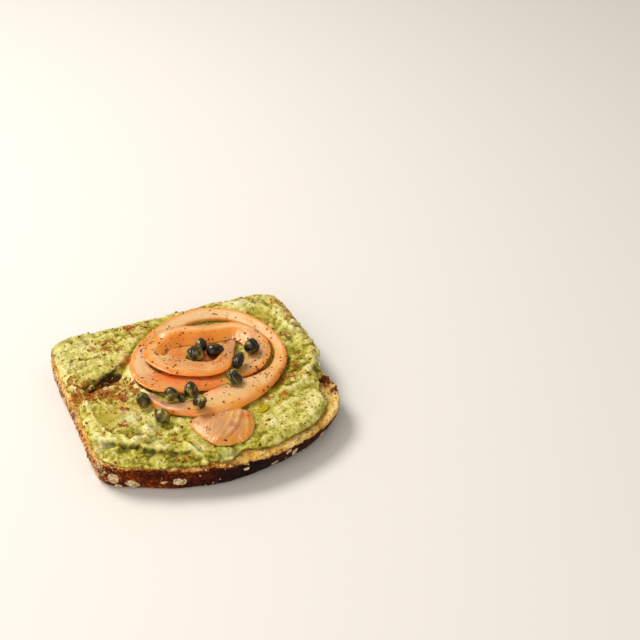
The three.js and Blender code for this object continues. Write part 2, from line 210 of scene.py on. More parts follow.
view = {
    "eye": (-139.7, -395.1, 371.8),  # mm
    "ahead": (0.35864, 0.71010, -0.60591),
    "right": (0.90474, -0.42424, 0.03832),
    "lens": 65.48,
    "sensor": 36,
    "clipStart": 0.01,
    "keyPlace": (-310, 430, 780),
    "keySize": 0.42,
    "keyPower": 6.4,
    "keyColour": "#fff6e8",
    "fillPlace": (-500, -420, 420),
    "fillSize": 0.9,
    "fillPower": 2.2,
    "fillColour": "#fff4e6",
    "skyColour": "#fdf1de",
    "skyStrength": 0.46,
    "floorColour": "#eef0f3",
    "floorReach": 2500,  # mm, from the middle to each side
}


def addCamera():
    data = bpy.data.cameras.new("camera")
    data.lens = view["lens"]
    data.sensor_width = view["sensor"]
    data.clip_start = view["clipStart"]
    camera = bpy.data.objects.new("camera", data)
    right = Vector(view["right"]).normalized()
    back = -Vector(view["ahead"]).normalized()
    up = back.cross(right).normalized()
    turn = Matrix((right, up, back)).transposed()
    camera.matrix_world = Matrix.Translation(Vector(view["eye"]) * mm) @ turn.to_4x4()
    bpy.context.scene.collection.objects.link(camera)
    bpy.context.scene.camera = camera


def addAreaLight(role):  # the key or the fill light, aimed at the slice
    data = bpy.data.lights.new(role + " light", "AREA")
    data.shape = "DISK"
    data.size = view[role + "Size"]
    data.energy = view[role + "Power"]
    data.color = linear(view[role + "Colour"])[:3]
    lamp = bpy.data.objects.new(role + " light", data)
    lamp.location = Vector(view[role + "Place"]) * mm
    lamp.rotation_euler = (-lamp.location).to_track_quat("-Z", "Y").to_euler()
    bpy.context.scene.collection.objects.link(lamp)


def addFloor():
    material, tree, output = newMaterial("matte studio paper")
    shader = addNode(tree, "ShaderNodeBsdfPrincipled", None,
                     {"Base Color": linear(view["floorColour"]), "Roughness": 0.9})
    tree.links.new(shader.outputs[0], output.inputs["Surface"])
    reach = view["floorReach"]
    corners = [(-reach, -reach, 0), (reach, -reach, 0), (reach, reach, 0), (-reach, reach, 0)]
    meshPiece("floor", corners, [(0, 1, 2, 3)], material)


def addSky():
    world = bpy.data.worlds.new("soft sky")
    bpy.context.scene.world = world
    world.use_nodes = True
    background = world.node_tree.nodes["Background"]
    background.inputs["Color"].default_value = linear(view["skyColour"])
    background.inputs["Strength"].default_value = view["skyStrength"]


bpy.context.scene.view_settings.view_transform = "Standard"
addCamera()
addSky()
addFloor()
for role in ("key", "fill"):
    addAreaLight(role)
print("camera, light and floor")


# bread: a slice of brown tin loaf, toasted, with an oat crust

bread = {
    "outline": [
        (-51.5, 56), (-17, 56.15), (18, 56.15), (47, 56), (58, 52.5), (61.2, 42), (61.1, 22),
        (60.2, 4), (56.6, -9.5), (57.6, -20.5), (56.2, -31.5), (49, -42.2), (33, -51.2), (14, -55.8),
        (-5, -56), (-25, -51), (-44, -42), (-57.2, -34.5), (-61, -23), (-60.9, 5), (-61.1, 36),
        (-59, 51),
    ],
    "sides": 760,
    "undercut": 1.3,  # how far the foot of the crust draws in, and how much more it does at the dome
    "domeUndercut": 4.7,
    # height and inset of the crust from its foot to its rim
    "profile": [(0, 1.2), (1.2, 0), (5, -0.1), (9, -0.1), (12.6, 0.1), (13.6, 0.5), (14, 1.4)],
    "crustRings": 40,
    "crumbRings": 46,
    "crumbStep": 0.6,
    "meanReach": 58,  # from the middle of the slice to its rim
    "middleShares": [0.56, 0.66, 0.78, 0.9],  # rings under the mash, as shares of the way in
    "pores": 1500,
    "poreReach": (61, 57),
    "seed": 5,
    # mash smeared on the crumb, torn crust at the right end and darker patches of the crumb: x, y, radius,
    # strength
    "smears": [
        (26, -50, 6, 1), (33, -48, 4, 0.8), (49.5, -30, 3.6, 0.9), (10, -55, 4, 0.3), (-2, -53, 5, 0.4),
        (52.6, -26, 2.6, 1), (47.5, -35, 3, 0.8), (43, -40, 3, 0.6), (38.5, -43.5, 3, 0.6),
        (54, -13, 3, 0.5),
    ],
    "chunk": [(54.6, -19.5, 3.2, 1), (54, -24, 3, 1), (55, -28, 2.4, 0.8), (51.6, -20.6, 2.2, 0.8)],
    "darkCrumb": [
        (38.4, -45.7, 4.5, 1), (46, -41, 3, 0.7), (-3, -52.6, 5, 1), (-16, -51, 4, 0.8),
        (57, 2, 3, 0.8),
    ],
    # how much lighter the crust is along the front, and where negative how much darker: x and tone; at the
    # right end the lift is painted light, where the crust faces away from the lamps
    "frontTone": [
        (-60, 0.04), (-52, 0.11), (-40, 0.08), (-25, 0), (-15, -0.1), (0, -0.18), (18, -0.1),
        (36, 0.06), (60, 0.16),
    ],
    "grainSize": 1.3,  # bran and crumb walls
    "grainContrast": 1.1,
    "crustColours": [
        (0.2, "#100200"), (1.1, "#f0b04c"), (0.42, "#260800"), (0.58, "#431300"), (0.72, "#702a00"),
        (0.88, "#c47420"),
    ],
    "crumbColours": [
        (0.2, "#4f2503"), (1.0, "#fce4a0"), (0.4, "#a06112"), (0.56, "#d59a38"), (0.74, "#edc468"),
    ],
    "chunkColours": [(0.3, "#240a05"), (0.9, "#b86a2c"), (0.58, "#5a2a10")],
    "smearColour": "#cbbb74",
    "whiteColour": "#f4e6cd",
}


def sliceEdge(z, inset, count):  # outline of the slice at a height, with the crust's lean
    loop = smoothLoop(bread["outline"], count)
    front = smoothStep(-20, -50, loop[:, 1]) * smoothStep(-45, 20, loop[:, 0])
    lean = (bread["undercut"] + bread["domeUndercut"] * front) * (1 - z / breadTop) ** 1.5
    return loop + inwardNormals(loop) * (inset + lean)[:, None]


def patchStrength(x, y, patches):  # 0 to 1, strongest in the middle of any patch
    strength = np.zeros(len(x))
    for px, py, radius, amount in patches:
        strength = np.maximum(strength, amount * np.exp(-((x - px) ** 2 + (y - py) ** 2) / radius**2))
    return strength


def poreDents(spots, random):  # round and oval holes of the crumb, as depth below the face
    dents = np.zeros(len(spots))
    width, depth = bread["poreReach"]
    for _ in range(bread["pores"]):
        middle = random.uniform((-width, -depth), (width, depth))
        radius = 0.35 + 1.5 * random.random() ** 3.2
        turn = random.uniform(0, math.pi)
        stretch = random.uniform(0.5, 1)
        offset = spots - middle
        near = np.flatnonzero(np.abs(offset).max(1) < radius)
        u = offset[near, 0] * math.cos(turn) + offset[near, 1] * math.sin(turn)
        v = offset[near, 1] * math.cos(turn) - offset[near, 0] * math.sin(turn)
        bowl = np.clip(1 - (u**2 + (v / stretch) ** 2) / radius**2, 0, 1)
        dents[near] = np.maximum(dents[near], 0.75 * radius * bowl**0.6)
    return dents


def breadMaterial():  # toasted wholemeal loaf: a dull baked crust and a dry open crumb
    material, tree, output = newMaterial("toasted brown bread")
    place = addNode(tree, "ShaderNodeTexCoord").outputs["Object"]
    fine = addNode(tree, "ShaderNodeTexNoise", None, {
        "Vector": place, "Scale": 1000 / bread["grainSize"], "Detail": 4, "Roughness": 0.7}).outputs["Fac"]
    values = {label: addNode(tree, "ShaderNodeAttribute", {"attribute_name": label}).outputs["Fac"]
              for label in ("baked", "crumb", "smear", "chunk", "white")}
    shade = addNode(tree, "ShaderNodeMath", {"operation": "MULTIPLY_ADD"}, {
        0: fine, 1: bread["grainContrast"], 2: values["baked"]}).outputs[0]
    crust, crumb, chunk = [
        addNode(tree, "ShaderNodeValToRGB", None, {"Fac": shade}, bread[label]).outputs["Color"]
        for label in ("crustColours", "crumbColours", "chunkColours")]
    colour = crust
    for label, other in (("crumb", crumb), ("white", linear(bread["whiteColour"])),
                         ("smear", linear(bread["smearColour"])), ("chunk", chunk)):
        colour = addNode(tree, "ShaderNodeMix", {"data_type": "RGBA"}, {
            "Factor": values[label], 6: colour, 7: other}).outputs[2]
    bump = addNode(tree, "ShaderNodeBump", None, {"Height": fine, "Strength": 0.7, "Distance": 0.0008})
    shader = addNode(tree, "ShaderNodeBsdfPrincipled", None, {
        "Base Color": colour, "Roughness": 0.66, "IOR": 1.45, "Normal": bump.outputs[0],
        "Specular IOR Level": 0.1})
    tree.links.new(shader.outputs[0], output.inputs["Surface"])
    return material


def breadRings():  # the crust from its foot to its rim, then the crumb from the rim to the middle
    random = np.random.default_rng(bread["seed"])
    count = bread["sides"]
    heights, insets = np.array(bread["profile"]).T
    share = np.linspace(0, 1, bread["crustRings"])
    z = breadTop * (1 - (1 - share) ** 1.35)
    inset = np.interp(z, heights, insets)
    inset[-1] = insets[-1]
    rings = []
    for level, pull in zip(z, inset):
        edge = sliceEdge(level, pull, count)
        inward = inwardNormals(edge)
        spots = np.column_stack([edge, np.full(count, level)])
        crumbly = 1 + 1.6 * smoothStep(-46, -58, spots[:, 0]) * smoothStep(-40, -26, spots[:, 1])
        rough = (0.34 * latticeNoise(spots, 9, 3) + 0.2 * latticeNoise(spots, 3.1, 4)
                 + (0.16 * billow(spots, 1.5, 5) + 0.08 * latticeNoise(spots, 0.8, 6)) * crumbly)
        strength = smoothStep(-0.01, 1.4, level)
        rings.append(np.column_stack([edge - inward * (rough * strength)[:, None], spots[:, 2]]))
    edge = rings[-1][:, :2]
    shares = [bread["crumbStep"] * (k + 1) / bread["meanReach"] for k in range(bread["crumbRings"])]
    for pull in shares + bread["middleShares"]:
        rings.append(np.column_stack([edge * (1 - pull), np.full(count, breadTop)]))
    rings = np.array(rings)
    top = rings[bread["crustRings"] - 3:].reshape(-1, 3)
    grain = 0.22 * latticeNoise(top, 2.4, 8) + 0.24 * billow(top, 1.3, 9) + 0.1 * latticeNoise(top, 0.7, 7)
    grain += (0.26 + 0.2 * smoothStep(10, 45, top[:, 0])) * billow(top, 3.2, 19)
    chunk = patchStrength(top[:, 0], top[:, 1], bread["chunk"])
    chunk = chunk * (1.5 + 1.4 * billow(top, 1.7, 10) + 0.6 * latticeNoise(top, 0.9, 11))
    top[:, 2] += grain + np.maximum(chunk, -0.5) - poreDents(top[:, :2], random) * (1 - np.clip(chunk, 0, 1))
    rings[bread["crustRings"] - 3:] = top.reshape(-1, count, 3)
    return rings


def breadValues(rings):  # how baked, floury, smeared or torn each point is, with painted light at the right end of the front crust
    crustRings = bread["crustRings"]
    spots = rings.reshape(-1, 3)
    shape = rings.shape[:2]
    x, y, z = spots.T
    edgeNoise = latticeNoise(spots, 2.2, 12)
    blotch = 0.5 + 0.5 * latticeNoise(spots, 9, 13) + 0.25 * latticeNoise(spots, 3, 15)
    right = smoothStep(-20, 45, x) * smoothStep(0, -20, y)
    left = smoothStep(-50, -61, x) * smoothStep(-40, -20, y)
    front = smoothStep(-16, -34, y)
    crumb = smoothStep(12.9 - 0.7 * right, 13.9 - 0.4 * right, z + 0.8 * edgeNoise)
    crumb[crustRings * shape[1]:] = 1
    fromRim = np.zeros(shape)
    fromRim[crustRings:] = bread["crumbStep"] * np.arange(1, shape[0] - crustRings + 1)[:, None]
    toasted = smoothStep(2.4, 0, fromRim.ravel() + 0.9 * edgeNoise) * crumb
    # painted light: frontTone lifts the right end of the front crust, which faces away from the lamps
    tone = front * np.interp(x, *np.array(bread["frontTone"]).T) - 0.06 * (1 - front)
    baked = 0.12 * latticeNoise(spots, 26, 14) + 0.24 * (blotch - 0.5) + tone * (1 - crumb)
    baked += (0.3 * left + (0.26 + 0.24 * right) * smoothStep(11.4, 13.3, z + 1.2 * edgeNoise)) * (1 - crumb)
    baked += crumb * (0.22 + (0.34 * right - 0.14) * toasted + 0.3 * latticeNoise(spots, 3.4, 21)
                      - 0.26 * patchStrength(x, y, bread["darkCrumb"]))
    ragged = 1 + 0.6 * latticeNoise(np.column_stack([x, y]), 1.8, 16)
    flour = smoothStep(0.35, 0.6, latticeNoise(spots, 2.4, 18) + 0.3 * latticeNoise(spots, 0.8, 20))
    husks = np.clip(1.6 * patchStrength(x, y, bread["chunk"]) * ragged - 0.2, 0, 1)
    values = {
        "crumb": crumb,
        "baked": baked - 0.3 * husks,
        "white": 0.5 * flour * left * (1 - crumb),
        "smear": np.clip(patchStrength(x, y, bread["smears"]) * ragged, 0, 0.85) * crumb,
        "chunk": husks,
    }
    values = {label: row.reshape(shape) for label, row in values.items()}
    return {label: ringValues(np.vstack([row[1:2], row[1:]])) for label, row in values.items()}


def makeBread():
    rings = breadRings()
    points, faces = ringSolid(rings)
    piece = meshPiece("bread", points, faces, breadMaterial(), breadValues(rings), flip=True)
    settle(piece, "bread", "bread")
    return piece


breadPiece = makeBread()
print("bread:", len(breadPiece.data.polygons), "faces")


# avocado: mashed with a fork and spread with a knife

avocado = {
    "outline": [
        (-50, 55.4), (-20, 55), (10, 55.5), (40, 55.3), (54, 53), (59, 45), (59.6, 30), (60.4, 14),
        (59.8, 1), (57.4, -4.5), (54.5, -14), (50.5, -20), (47.8, -26), (47.4, -34.6), (43.1, -41),
        (34, -46.8), (20.8, -50.2), (17, -51.5), (8, -51.2), (1, -48.8), (-6, -52.4), (-13, -51.2),
        (-24, -49.6), (-36, -46), (-46, -41.4), (-55.2, -35.6), (-59.4, -26), (-59, -10), (-58.8, 5),
        (-59.6, 22), (-59.6, 40), (-57, 52),
    ],
    "thickness": 3.1,
    "pressed": 2.7,  # thickness under the salmon
    "edgeRound": 3.4,
    "edgeShare": 0.48,
    "rosetteCentre": (7, 10.2),
    "rosetteRadius": 37.5,
    "pressedSpots": [(-3, -34.5, 17.5), (-31.2, -6.7, 4.6), (-27.3, -20.6, 5)],
    # crest points of each knife mark, its height, and its reach to the right and to the left
    "knifeMarks": [
        ([(-60, 22), (-56, 13), (-50.5, 12.8), (-46.5, 17), (-41, 20.5), (-30, 25)], 2.3, (1.3, 15)),
        ([(-52, 15), (-45, 18.4), (-36, 20)], -2.3, (2.6, 1.3)),
        ([(-55, 4), (-54.5, -9), (-51.5, -21)], 1.1, (1.2, 1.2)),
        ([(-56, -21.5), (-52.7, -24), (-49.1, -27.2), (-43.5, -30.6)], 2.2, (0.9, 5)),
        ([(-41.5, -32.6), (-36.8, -36), (-32, -39.4), (-25, -42.2), (-19, -43.4)], 2.1, (0.9, 5)),
        ([(-36, -21), (-36.8, -29)], 1.3, (2, 2.2)),
        ([(-18.5, -46.5), (-5, -49.5), (18, -48), (35, -42.5), (43.5, -35)], 0.9, (3, 4)),
        ([(24.5, -21), (35, -22.5), (45, -18), (54, -8)], 1.6, (1.3, 5)),
        ([(30, -26), (38, -26.5), (46, -24)], -1.1, (2, 1.5)),
        ([(39.5, -6), (49.5, -7.5), (57, -3)], 1.2, (1.3, 5)),
        ([(33, 46), (38, 45)], 1.4, (5, 5)),
        ([(41.5, 41), (49.5, 26)], -1.2, (2.5, 2.5)),
        ([(52, 36), (54, 22), (55, 10)], 1.1, (3, 3)),
    ],
    # hollows and grooves: the same three values for each, the height below its surroundings
    "grooves": [
        ([(-52, -28), (-48, -30.8), (-42.5, -33.4)], 1.7, (1.1, 1.1)),
        ([(-40, -36.8), (-34.5, -40), (-28, -43.6)], 1.1, (1.2, 1)),
        ([(-18, -44.5), (-14, -46.5), (-10, -49)], 1, (1.6, 1.4)),
        ([(-54.5, 33.6), (-52.5, 35.4)], 1.5, (0.6, 0.6)),
        ([(-52.5, 35.4), (-50, 36.2), (-46, 34.6), (-41, 33)], 0.6, (0.8, 0.6)),
        ([(-33, 19.6), (-31, 17.4), (-29.5, 18)], 1, (0.6, 0.6)),
        ([(-60.5, 20.4), (-57.5, 19.4), (-55.5, 15.6), (-52, 12.6)], 1.2, (0.8, 0.7)),
        ([(45.5, 33), (49, 29.5)], 1, (2, 1.6)),
        ([(46.5, 22), (48.5, 17), (50.5, 13)], 1.1, (1.6, 1.2)),
        ([(33, -18.2), (38, -19.6), (43.5, -18.2)], 0.9, (1.2, 1)),
        ([(39, -11.2), (42.5, -10.4)], 1.2, (0.7, 0.7)),
        ([(48.5, -7), (54, -5)], 0.9, (0.8, 0.8)),
    ],
    # raised lumps: x, y, radius across, radius along, turn in degrees and height
    "lumps": [
        (-34.2, -24.2, 2.3, 5, 8, 1.3), (-51, -25.6, 1.6, 2.6, 100, 0.8), (-46.4, -25.6, 2, 2.4, 0, 1),
        (-43, -27.4, 1.5, 2, 40, 0.7), (-17.5, -42.5, 2, 2.8, 60, 0.8), (-7, -51, 2.4, 2.8, 20, 1.1),
        (-40.6, 53, 2, 1.3, 0, 1.4), (-44.6, 53.2, 1.5, 1.2, 0, 1.1), (52.5, 24.5, 3, 1.9, 10, 1.1),
        (58, 24, 2.4, 1.7, 0, 0.9), (57.6, 17, 2.2, 1.8, 30, 0.9), (53.6, 18.6, 2, 1.6, 80, 0.8),
        (57.6, 7, 2.6, 2, 20, 0.9), (52.6, 7.6, 2.2, 1.6, 100, 0.6), (47.5, 28.4, 1.5, 1.3, 0, 0.8),
        (56, -9, 1.6, 3, 20, 0.9), (49, -12, 1.8, 3.2, -60, 0.7), (13, 51, 3, 1.5, 5, 0.6),
        (-56.5, 3, 2, 2.6, 10, 0.6), (39, 47.5, 5, 2.6, 10, 0.7), (33, 50, 3, 2, 0, 0.5),
    ],
    # mash that was pushed up against the outside of the rosette
    "collar": [
        (44.5, 10), (44.3, 18.2), (41.1, 28.5), (35.4, 38.1), (26.3, 45.3), (14.3, 48.9), (2.2, 47.3),
        (-7.6, 42.5), (-16.4, 36.7), (-23.9, 29.1), (-30, 18.7), (-30.8, 6.2), (-26, -3),
    ],
    "collarRise": 2.2,
    "grainSize": 1.5,  # fork-torn flecks of flesh
    "speckSize": 0.9,
    "grainContrast": 1.2,
    "fleshColours": [
        (0.0, "#3c3a02"), (1.0, "#f6f5bc"), (0.2, "#67630c"), (0.36, "#8e871a"), (0.48, "#b5ad38"),
        (0.62, "#d3cd68"), (0.8, "#ece89a"),
    ],
    # the last colour is painted shade: bread in the gap painted dark brown, as crumb in shadow under the lip
    "stainColours": {"oily": "#b9a52f", "pale": "#f9f6c8", "stain": "#cc7016", "bare": "#4a2a10"},
    "dustColour": "#a55a17",
    # where the mash is smooth, and where it is chunky: x, y, radius, strength
    "smooth": [
        (-48, -8, 9, 1), (32, -37, 13, 0.9), (-55, 36, 9, 0.75), (-46, 29, 9, 0.6), (37, 47, 9, 0.6),
        (10, -45, 10, 0.6), (-50, 45, 8, 0.4),
    ],
    "chunky": [
        (54, 16, 13, 1), (52, -8, 9, 0.8), (-12, -48, 12, 0.9), (-40, -38, 14, 0.8), (-55, -28, 10, 0.9),
        (-25, 46, 12, 0.9), (-42, 6, 14, 0.9), (46, 34, 7, 0.6), (-22, -36, 9, 0.5),
    ],
    # where the mash is torn into small crumbs
    "torn": [
        (-55, 8, 7, 1), (-46, 8, 8, 0.8), (-34, 6, 7, 0.7), (-44, 22, 6, 0.5), (-57, -6, 5, 0.7),
        (-30, 46, 9, 0.6), (-50, 40, 8, 0.4), (-20, -50, 5, 0.8), (-40, -44, 6, 0.8),
        (-56, -32, 5, 0.7), (0, -50, 6, 0.7), (30, -14, 7, 0.5), (46, -8, 8, 0.6), (55, 16, 7, 0.6),
        (36, 4, 6, 0.6),
    ],
    # where it is thinner than elsewhere: x, y, radius and by how many mm
    "thinned": [
        (-46, -40, 10, 1.5), (-57, -28, 5, 0.9), (-30, -47, 8, 1.5), (-16, -51, 6, 1.2),
        (24, -24, 7, 0.5),
    ],
    # where the edge stands up steep
    "steepEdge": [(49, -32, 13, 1), (30, -46, 15, 1), (8, -51, 11, 0.9), (-58, 34, 12, 0.6)],
    # the gap in which the bread shows, under the overhanging lip: x, y, half width
    "gap": [
        (-51, 11.4, 0.4), (-48, 12.6, 1.2), (-45, 14.2, 2.6), (-42.2, 15.9, 3.6), (-39, 17.2, 3.4),
        (-36.4, 18, 2.1), (-34.6, 18.6, 0.6),
    ],
    "lip": [(-52, 13), (-47.5, 16.8), (-43, 20), (-38, 21.8), (-33.5, 23.4)],
    "overhang": 2.2,
    "sides": 880,
    "rings": 108,
    "edgeStep": 0.41,
    "meanReach": 57,  # from the middle of the spread to its edge
    "mapStep": 0.25,
    "mapReach": (64, 60),
    # where chili and its oil lie on the mash: x, y, radius, strength
    "spicePatches": [
        (-52, 8.5, 4.5, 1), (-47, 9, 4, 1), (-43.5, 6, 4.5, 0.9), (-39, 1.6, 4, 1), (-38, 6, 3, 0.8),
        (-32, 8, 3, 0.8), (-30, 3, 3, 0.6), (-57, 12, 3.4, 0.9), (-56.5, 6, 3.4, 0.8), (-41, -6.4, 2.6, 1),
        (-44, -16.2, 2.4, 0.9), (-51.4, -18.2, 1.8, 0.9), (-36.6, -12, 2, 0.6), (-35, 45, 4, 0.4),
        (-33, 43, 2.4, 0.9), (-38, 45, 2, 0.8), (-36, 37, 3, 0.8), (-30.5, 34.5, 2, 1), (-41, 40.5, 2, 0.8),
        (-41, 33, 1.8, 0.7), (-20, 50, 3.4, 0.9), (-15, 48, 3, 0.7), (-57, 20, 3, 0.8), (-52, 17, 2.4, 0.6),
        (-27, 7, 2.6, 0.9), (36, -12.5, 4, 1), (42.5, -7.4, 3.4, 0.8), (32, -16.5, 1.8, 0.8),
        (29, -17, 1.8, 0.8), (23, -22.4, 3.4, 0.9), (18.5, -26.5, 1.3, 1), (28.5, -28.5, 1.6, 0.6),
        (48.5, 1, 1.8, 0.8), (50, 17, 2, 0.7), (-26.5, -34.5, 1.8, 1), (-31, -28.5, 1.8, 0.6),
        (26, -7.5, 6.5, 1), (24, -4, 5, 0.8), (59, 28, 3, 0.4), (-45, 14, 3, 0.8), (-37, 12, 4, 0.7),
    ],
    # orange oil has soaked in here
    "oilStains": [
        (-28, 25, 4, 1), (-31.5, 21.5, 2.4, 0.6), (-52, 8, 3, 0.5), (-39, 1, 3, 0.4), (44.5, -15.5, 1.2, 1),
        (35.5, -34.6, 1.1, 1), (31, -24, 1.6, 0.8), (-33.5, 5.4, 2.4, 0.6), (-52, 17, 2.4, 0.5),
        (-60.5, 14, 3, 0.6), (26, -8, 6, 0.5), (-32, -5.4, 3.6, 0.5), (-58.4, 6, 2.4, 0.5), (-20, 49, 3, 0.4),
        (-14, -44, 1.6, 0.5), (41, 53.6, 3, 0.3), (57, 44, 4, 0.6), (59.5, 33, 4, 0.6),
    ],
    "oilyGreen": [
        (-47.5, -8, 7, 1), (44.5, 36, 5, 0.9), (17.5, -29, 4, 1), (38, 6, 6, 1), (-18, 44, 5, 0.5),
        (41, 31, 4, 0.6), (-12.5, -33, 5, 0.3), (-52, -12, 4, 0.6), (12, -31, 4, 0.7),
    ],
    # painted shade: mash painted darker where it lies in shade
    "shaded": [
        (-42, -36, 10, 1), (-52, -30, 8, 0.8), (-28, -43, 9, 1), (-14, -46, 8, 0.7), (4, -46, 8, 0.7),
        (12, -48, 6, 0.7), (-40, 12, 5, 0.4), (40, 2, 8, 0.6), (34, -14, 8, 1.3), (42, -6, 8, 1.2),
        (-8, -51, 7, 1.2), (2, -50, 5, 0.8), (-46.6, 23, 5, 0.5), (-52, 14, 4, 1),
    ],
    # mash that is lighter
    "lighterPatches": [
        (23.5, -41, 8, 1), (37, -33, 8, 0.8), (37, 46, 10, 1.1), (-54.8, -14.5, 6, 1.2),
        (52, 34, 8, 0.6),
    ],
    # paler patches: in part paler flesh, in part a painted highlight of the wet sheen
    "paleSpots": [
        (-34.4, -23, 3.4, 1), (-39, -13, 4, 0.9), (-60, 42, 8, 0.45), (-52, 32, 7, 0.35),
        (-40, 32, 6, 0.3), (-36, 4, 2.6, 0.6), (-57, -24, 4, 0.5), (-44, 44, 7, 0.45),
        (-7, -51, 3, 0.5), (-17, -42, 2.6, 0.7), (55, 20, 5, 0.4), (43, -30, 4, 0.5),
        (-34, -33, 3, 0.5), (17, -40, 4, 0.4), (36, 50, 5, 0.4), (48, 48, 4, 0.3), (-30, -17, 3, 0.4),
    ],
}


def distanceToPath(x, y, path):  # distance to a row of points joined by straight lines, and how far left
    nearest = np.full(len(x), np.inf)
    left = np.zeros(len(x))
    for (ax, ay), (bx, by) in zip(path, path[1:]):
        along = ((x - ax) * (bx - ax) + (y - ay) * (by - ay)) / ((bx - ax) ** 2 + (by - ay) ** 2)
        along = np.clip(along, 0, 1)
        distance = np.hypot(x - ax - along * (bx - ax), y - ay - along * (by - ay))
        closer = distance < nearest
        across = ((bx - ax) * (y - ay) - (by - ay) * (x - ax)) / math.hypot(bx - ax, by - ay)
        left = np.where(closer, across / (distance + 0.01), left)
        nearest = np.minimum(nearest, distance)
    return nearest, smoothStep(-0.5, 0.7, left)


def pressedShare(x, y):  # 1 under the salmon and the capers that lie on the mash
    centre = avocado["rosetteCentre"]
    free = np.hypot(x - centre[0], y - centre[1]) - avocado["rosetteRadius"]
    for px, py, radius in avocado["pressedSpots"]:
        free = np.minimum(free, np.hypot(x - px, y - py) - radius)
    return smoothStep(2.2, 0, free)


def mashRelief(x, y):  # knife strokes, lumps and soft chunks of the mash
    spots = np.column_stack([x, y])
    warp = np.column_stack([latticeNoise(spots, 5, 26), latticeNoise(spots, 5, 27)])
    bent = spots + 1.3 * warp
    lean = latticeNoise(spots, 14, 21)
    strokes = np.zeros(len(x))
    for angle, weight in ((-20, smoothStep(0.1, -0.5, lean)), (75, smoothStep(-0.1, 0.5, lean)),
                          (32, 1 - np.minimum(np.abs(lean) * 2, 1))):
        turn = math.radians(angle)
        u = bent @ (math.cos(turn), math.sin(turn))
        v = bent @ (-math.sin(turn), math.cos(turn))
        strokes += weight * (latticeNoise(np.column_stack([u / 5, v]), 1.5, 22)
                             + 0.8 * latticeNoise(np.column_stack([u / 4, v]), 0.75, 28))
    smooth = patchStrength(x, y, avocado["smooth"])
    chunky = np.clip(0.35 + patchStrength(x, y, avocado["chunky"]) - 0.5 * smooth, 0, 1)
    near, second, luck = lumpCells(bent, 3.3, 3)
    big = np.clip(1 - (near / (1.3 + 1.6 * luck)) ** 2, 0, 1) ** 0.8 * (0.2 + 0.8 * luck)
    big -= 0.3 * luck * smoothStep(0.6, 0, second - near)
    near, second, luck = lumpCells(bent + 0.4 * warp, 1.5, 5)
    small = np.clip(1 - (near / (0.5 + 0.7 * luck)) ** 2, 0, 1) ** 0.8 * (0.2 + 0.8 * luck)
    small -= 0.25 * luck * smoothStep(0.3, 0, second - near)
    torn = patchStrength(x, y, avocado["torn"])
    relief = chunky * (0.72 * big + 0.3 * small) + (1 - 0.4 * chunky) * 0.27 * strokes
    relief += ((0.3 - 0.15 * smooth) * billow(bent, 5.5, 31)
               + (0.24 - 0.12 * smooth) * latticeNoise(spots, 2.2, 24))
    relief += (0.05 + 0.2 * torn) * billow(bent, 1.4, 29) + (0.07 + 0.1 * torn) * latticeNoise(spots, 0.9, 25)
    return relief - 0.2 * chunky


def spreadHeight(x, y):  # thickness of the mash before its edge is rounded
    soft = (0.42 * np.sin(0.34 * x + 1.7 * np.sin(0.13 * y + 0.4)) * np.cos(0.29 * y - 0.8)
            + 0.28 * np.sin(0.71 * x - 0.43 * y + 2.1) * np.cos(0.37 * x + 0.66 * y))
    marks = np.zeros(len(x))
    signs = [(1, row) for row in avocado["knifeMarks"]] + [(-1, row) for row in avocado["grooves"]]
    spots = np.column_stack([x, y])
    shaken = spots + 0.5 * np.column_stack([latticeNoise(spots, 2.4, 33), latticeNoise(spots, 2.4, 34)])
    for sign, (crest, height, (right, left)) in signs:
        distance, leftShare = distanceToPath(shaken[:, 0], shaken[:, 1], crest)
        marks += sign * height * np.exp(-((distance / (right + (left - right) * leftShare)) ** 2))
    for px, py, wide, long, turn, height in avocado["lumps"]:
        turn = math.radians(turn)
        u = ((shaken[:, 0] - px) * math.cos(turn) + (shaken[:, 1] - py) * math.sin(turn)) / wide
        v = ((shaken[:, 1] - py) * math.cos(turn) - (shaken[:, 0] - px) * math.sin(turn)) / long
        marks += height * np.clip(1.15 - u**2 - v**2, 0, 1) ** 0.7
    thinned = patchStrength(x, y, avocado["thinned"])
    whole = np.maximum(avocado["thickness"] + soft + marks - thinned, 0.6)
    pressed = pressedShare(x, y)
    whole = whole + (np.minimum(whole, avocado["pressed"] + 0.15) - whole) * pressed
    collar, _ = distanceToPath(shaken[:, 0], shaken[:, 1], avocado["collar"])
    pushedUp = avocado["collarRise"] * np.exp(-((collar / 1.9) ** 2))
    whole = np.maximum(whole, avocado["thickness"] + pushedUp - 0.6)
    whole = whole + mashRelief(x, y) * (1 - 0.45 * pressed)
    return whole * (1 - gapShare(x, y)) + 0.15 * gapShare(x, y)


def gapShare(x, y):  # 1 where the mash is missing and the bread shows
    share = np.zeros(len(x))
    wobble = 0.5 * latticeNoise(np.column_stack([x, y]), 1.5, 35)
    path, _ = smoothPath(avocado["gap"], 0.5)
    for px, py, wide in path:
        distance = np.hypot(x - px, (y - py) * 1.15) + wobble
        share = np.maximum(share, smoothStep(wide + 0.9, wide - 0.5, distance))
    return share


def spreadMap():  # height of the mash on a square net, and how far each spot lies above its surroundings
    step = avocado["mapStep"]
    width, depth = avocado["mapReach"]
    x, y = np.meshgrid(np.arange(-width, width, step), np.arange(-depth, depth, step))
    height = soften(spreadHeight(x.ravel(), y.ravel()).reshape(x.shape), 0.28 / step)
    fine = height - soften(height, 0.8 / step)
    broad = height - soften(height, 2.6 / step)
    return height, 0.8 * np.clip(fine, -1, 0.7) + 0.62 * np.clip(broad, -1.6, 0.9)


def soften(values, radius):  # blurs a map by this many steps
    rows, columns = (np.fft.fftfreq(n) for n in values.shape)
    keep = np.exp(-2 * (math.pi * radius) ** 2 * (rows[:, None] ** 2 + columns[None] ** 2))
    return np.fft.ifft2(np.fft.fft2(values) * keep).real


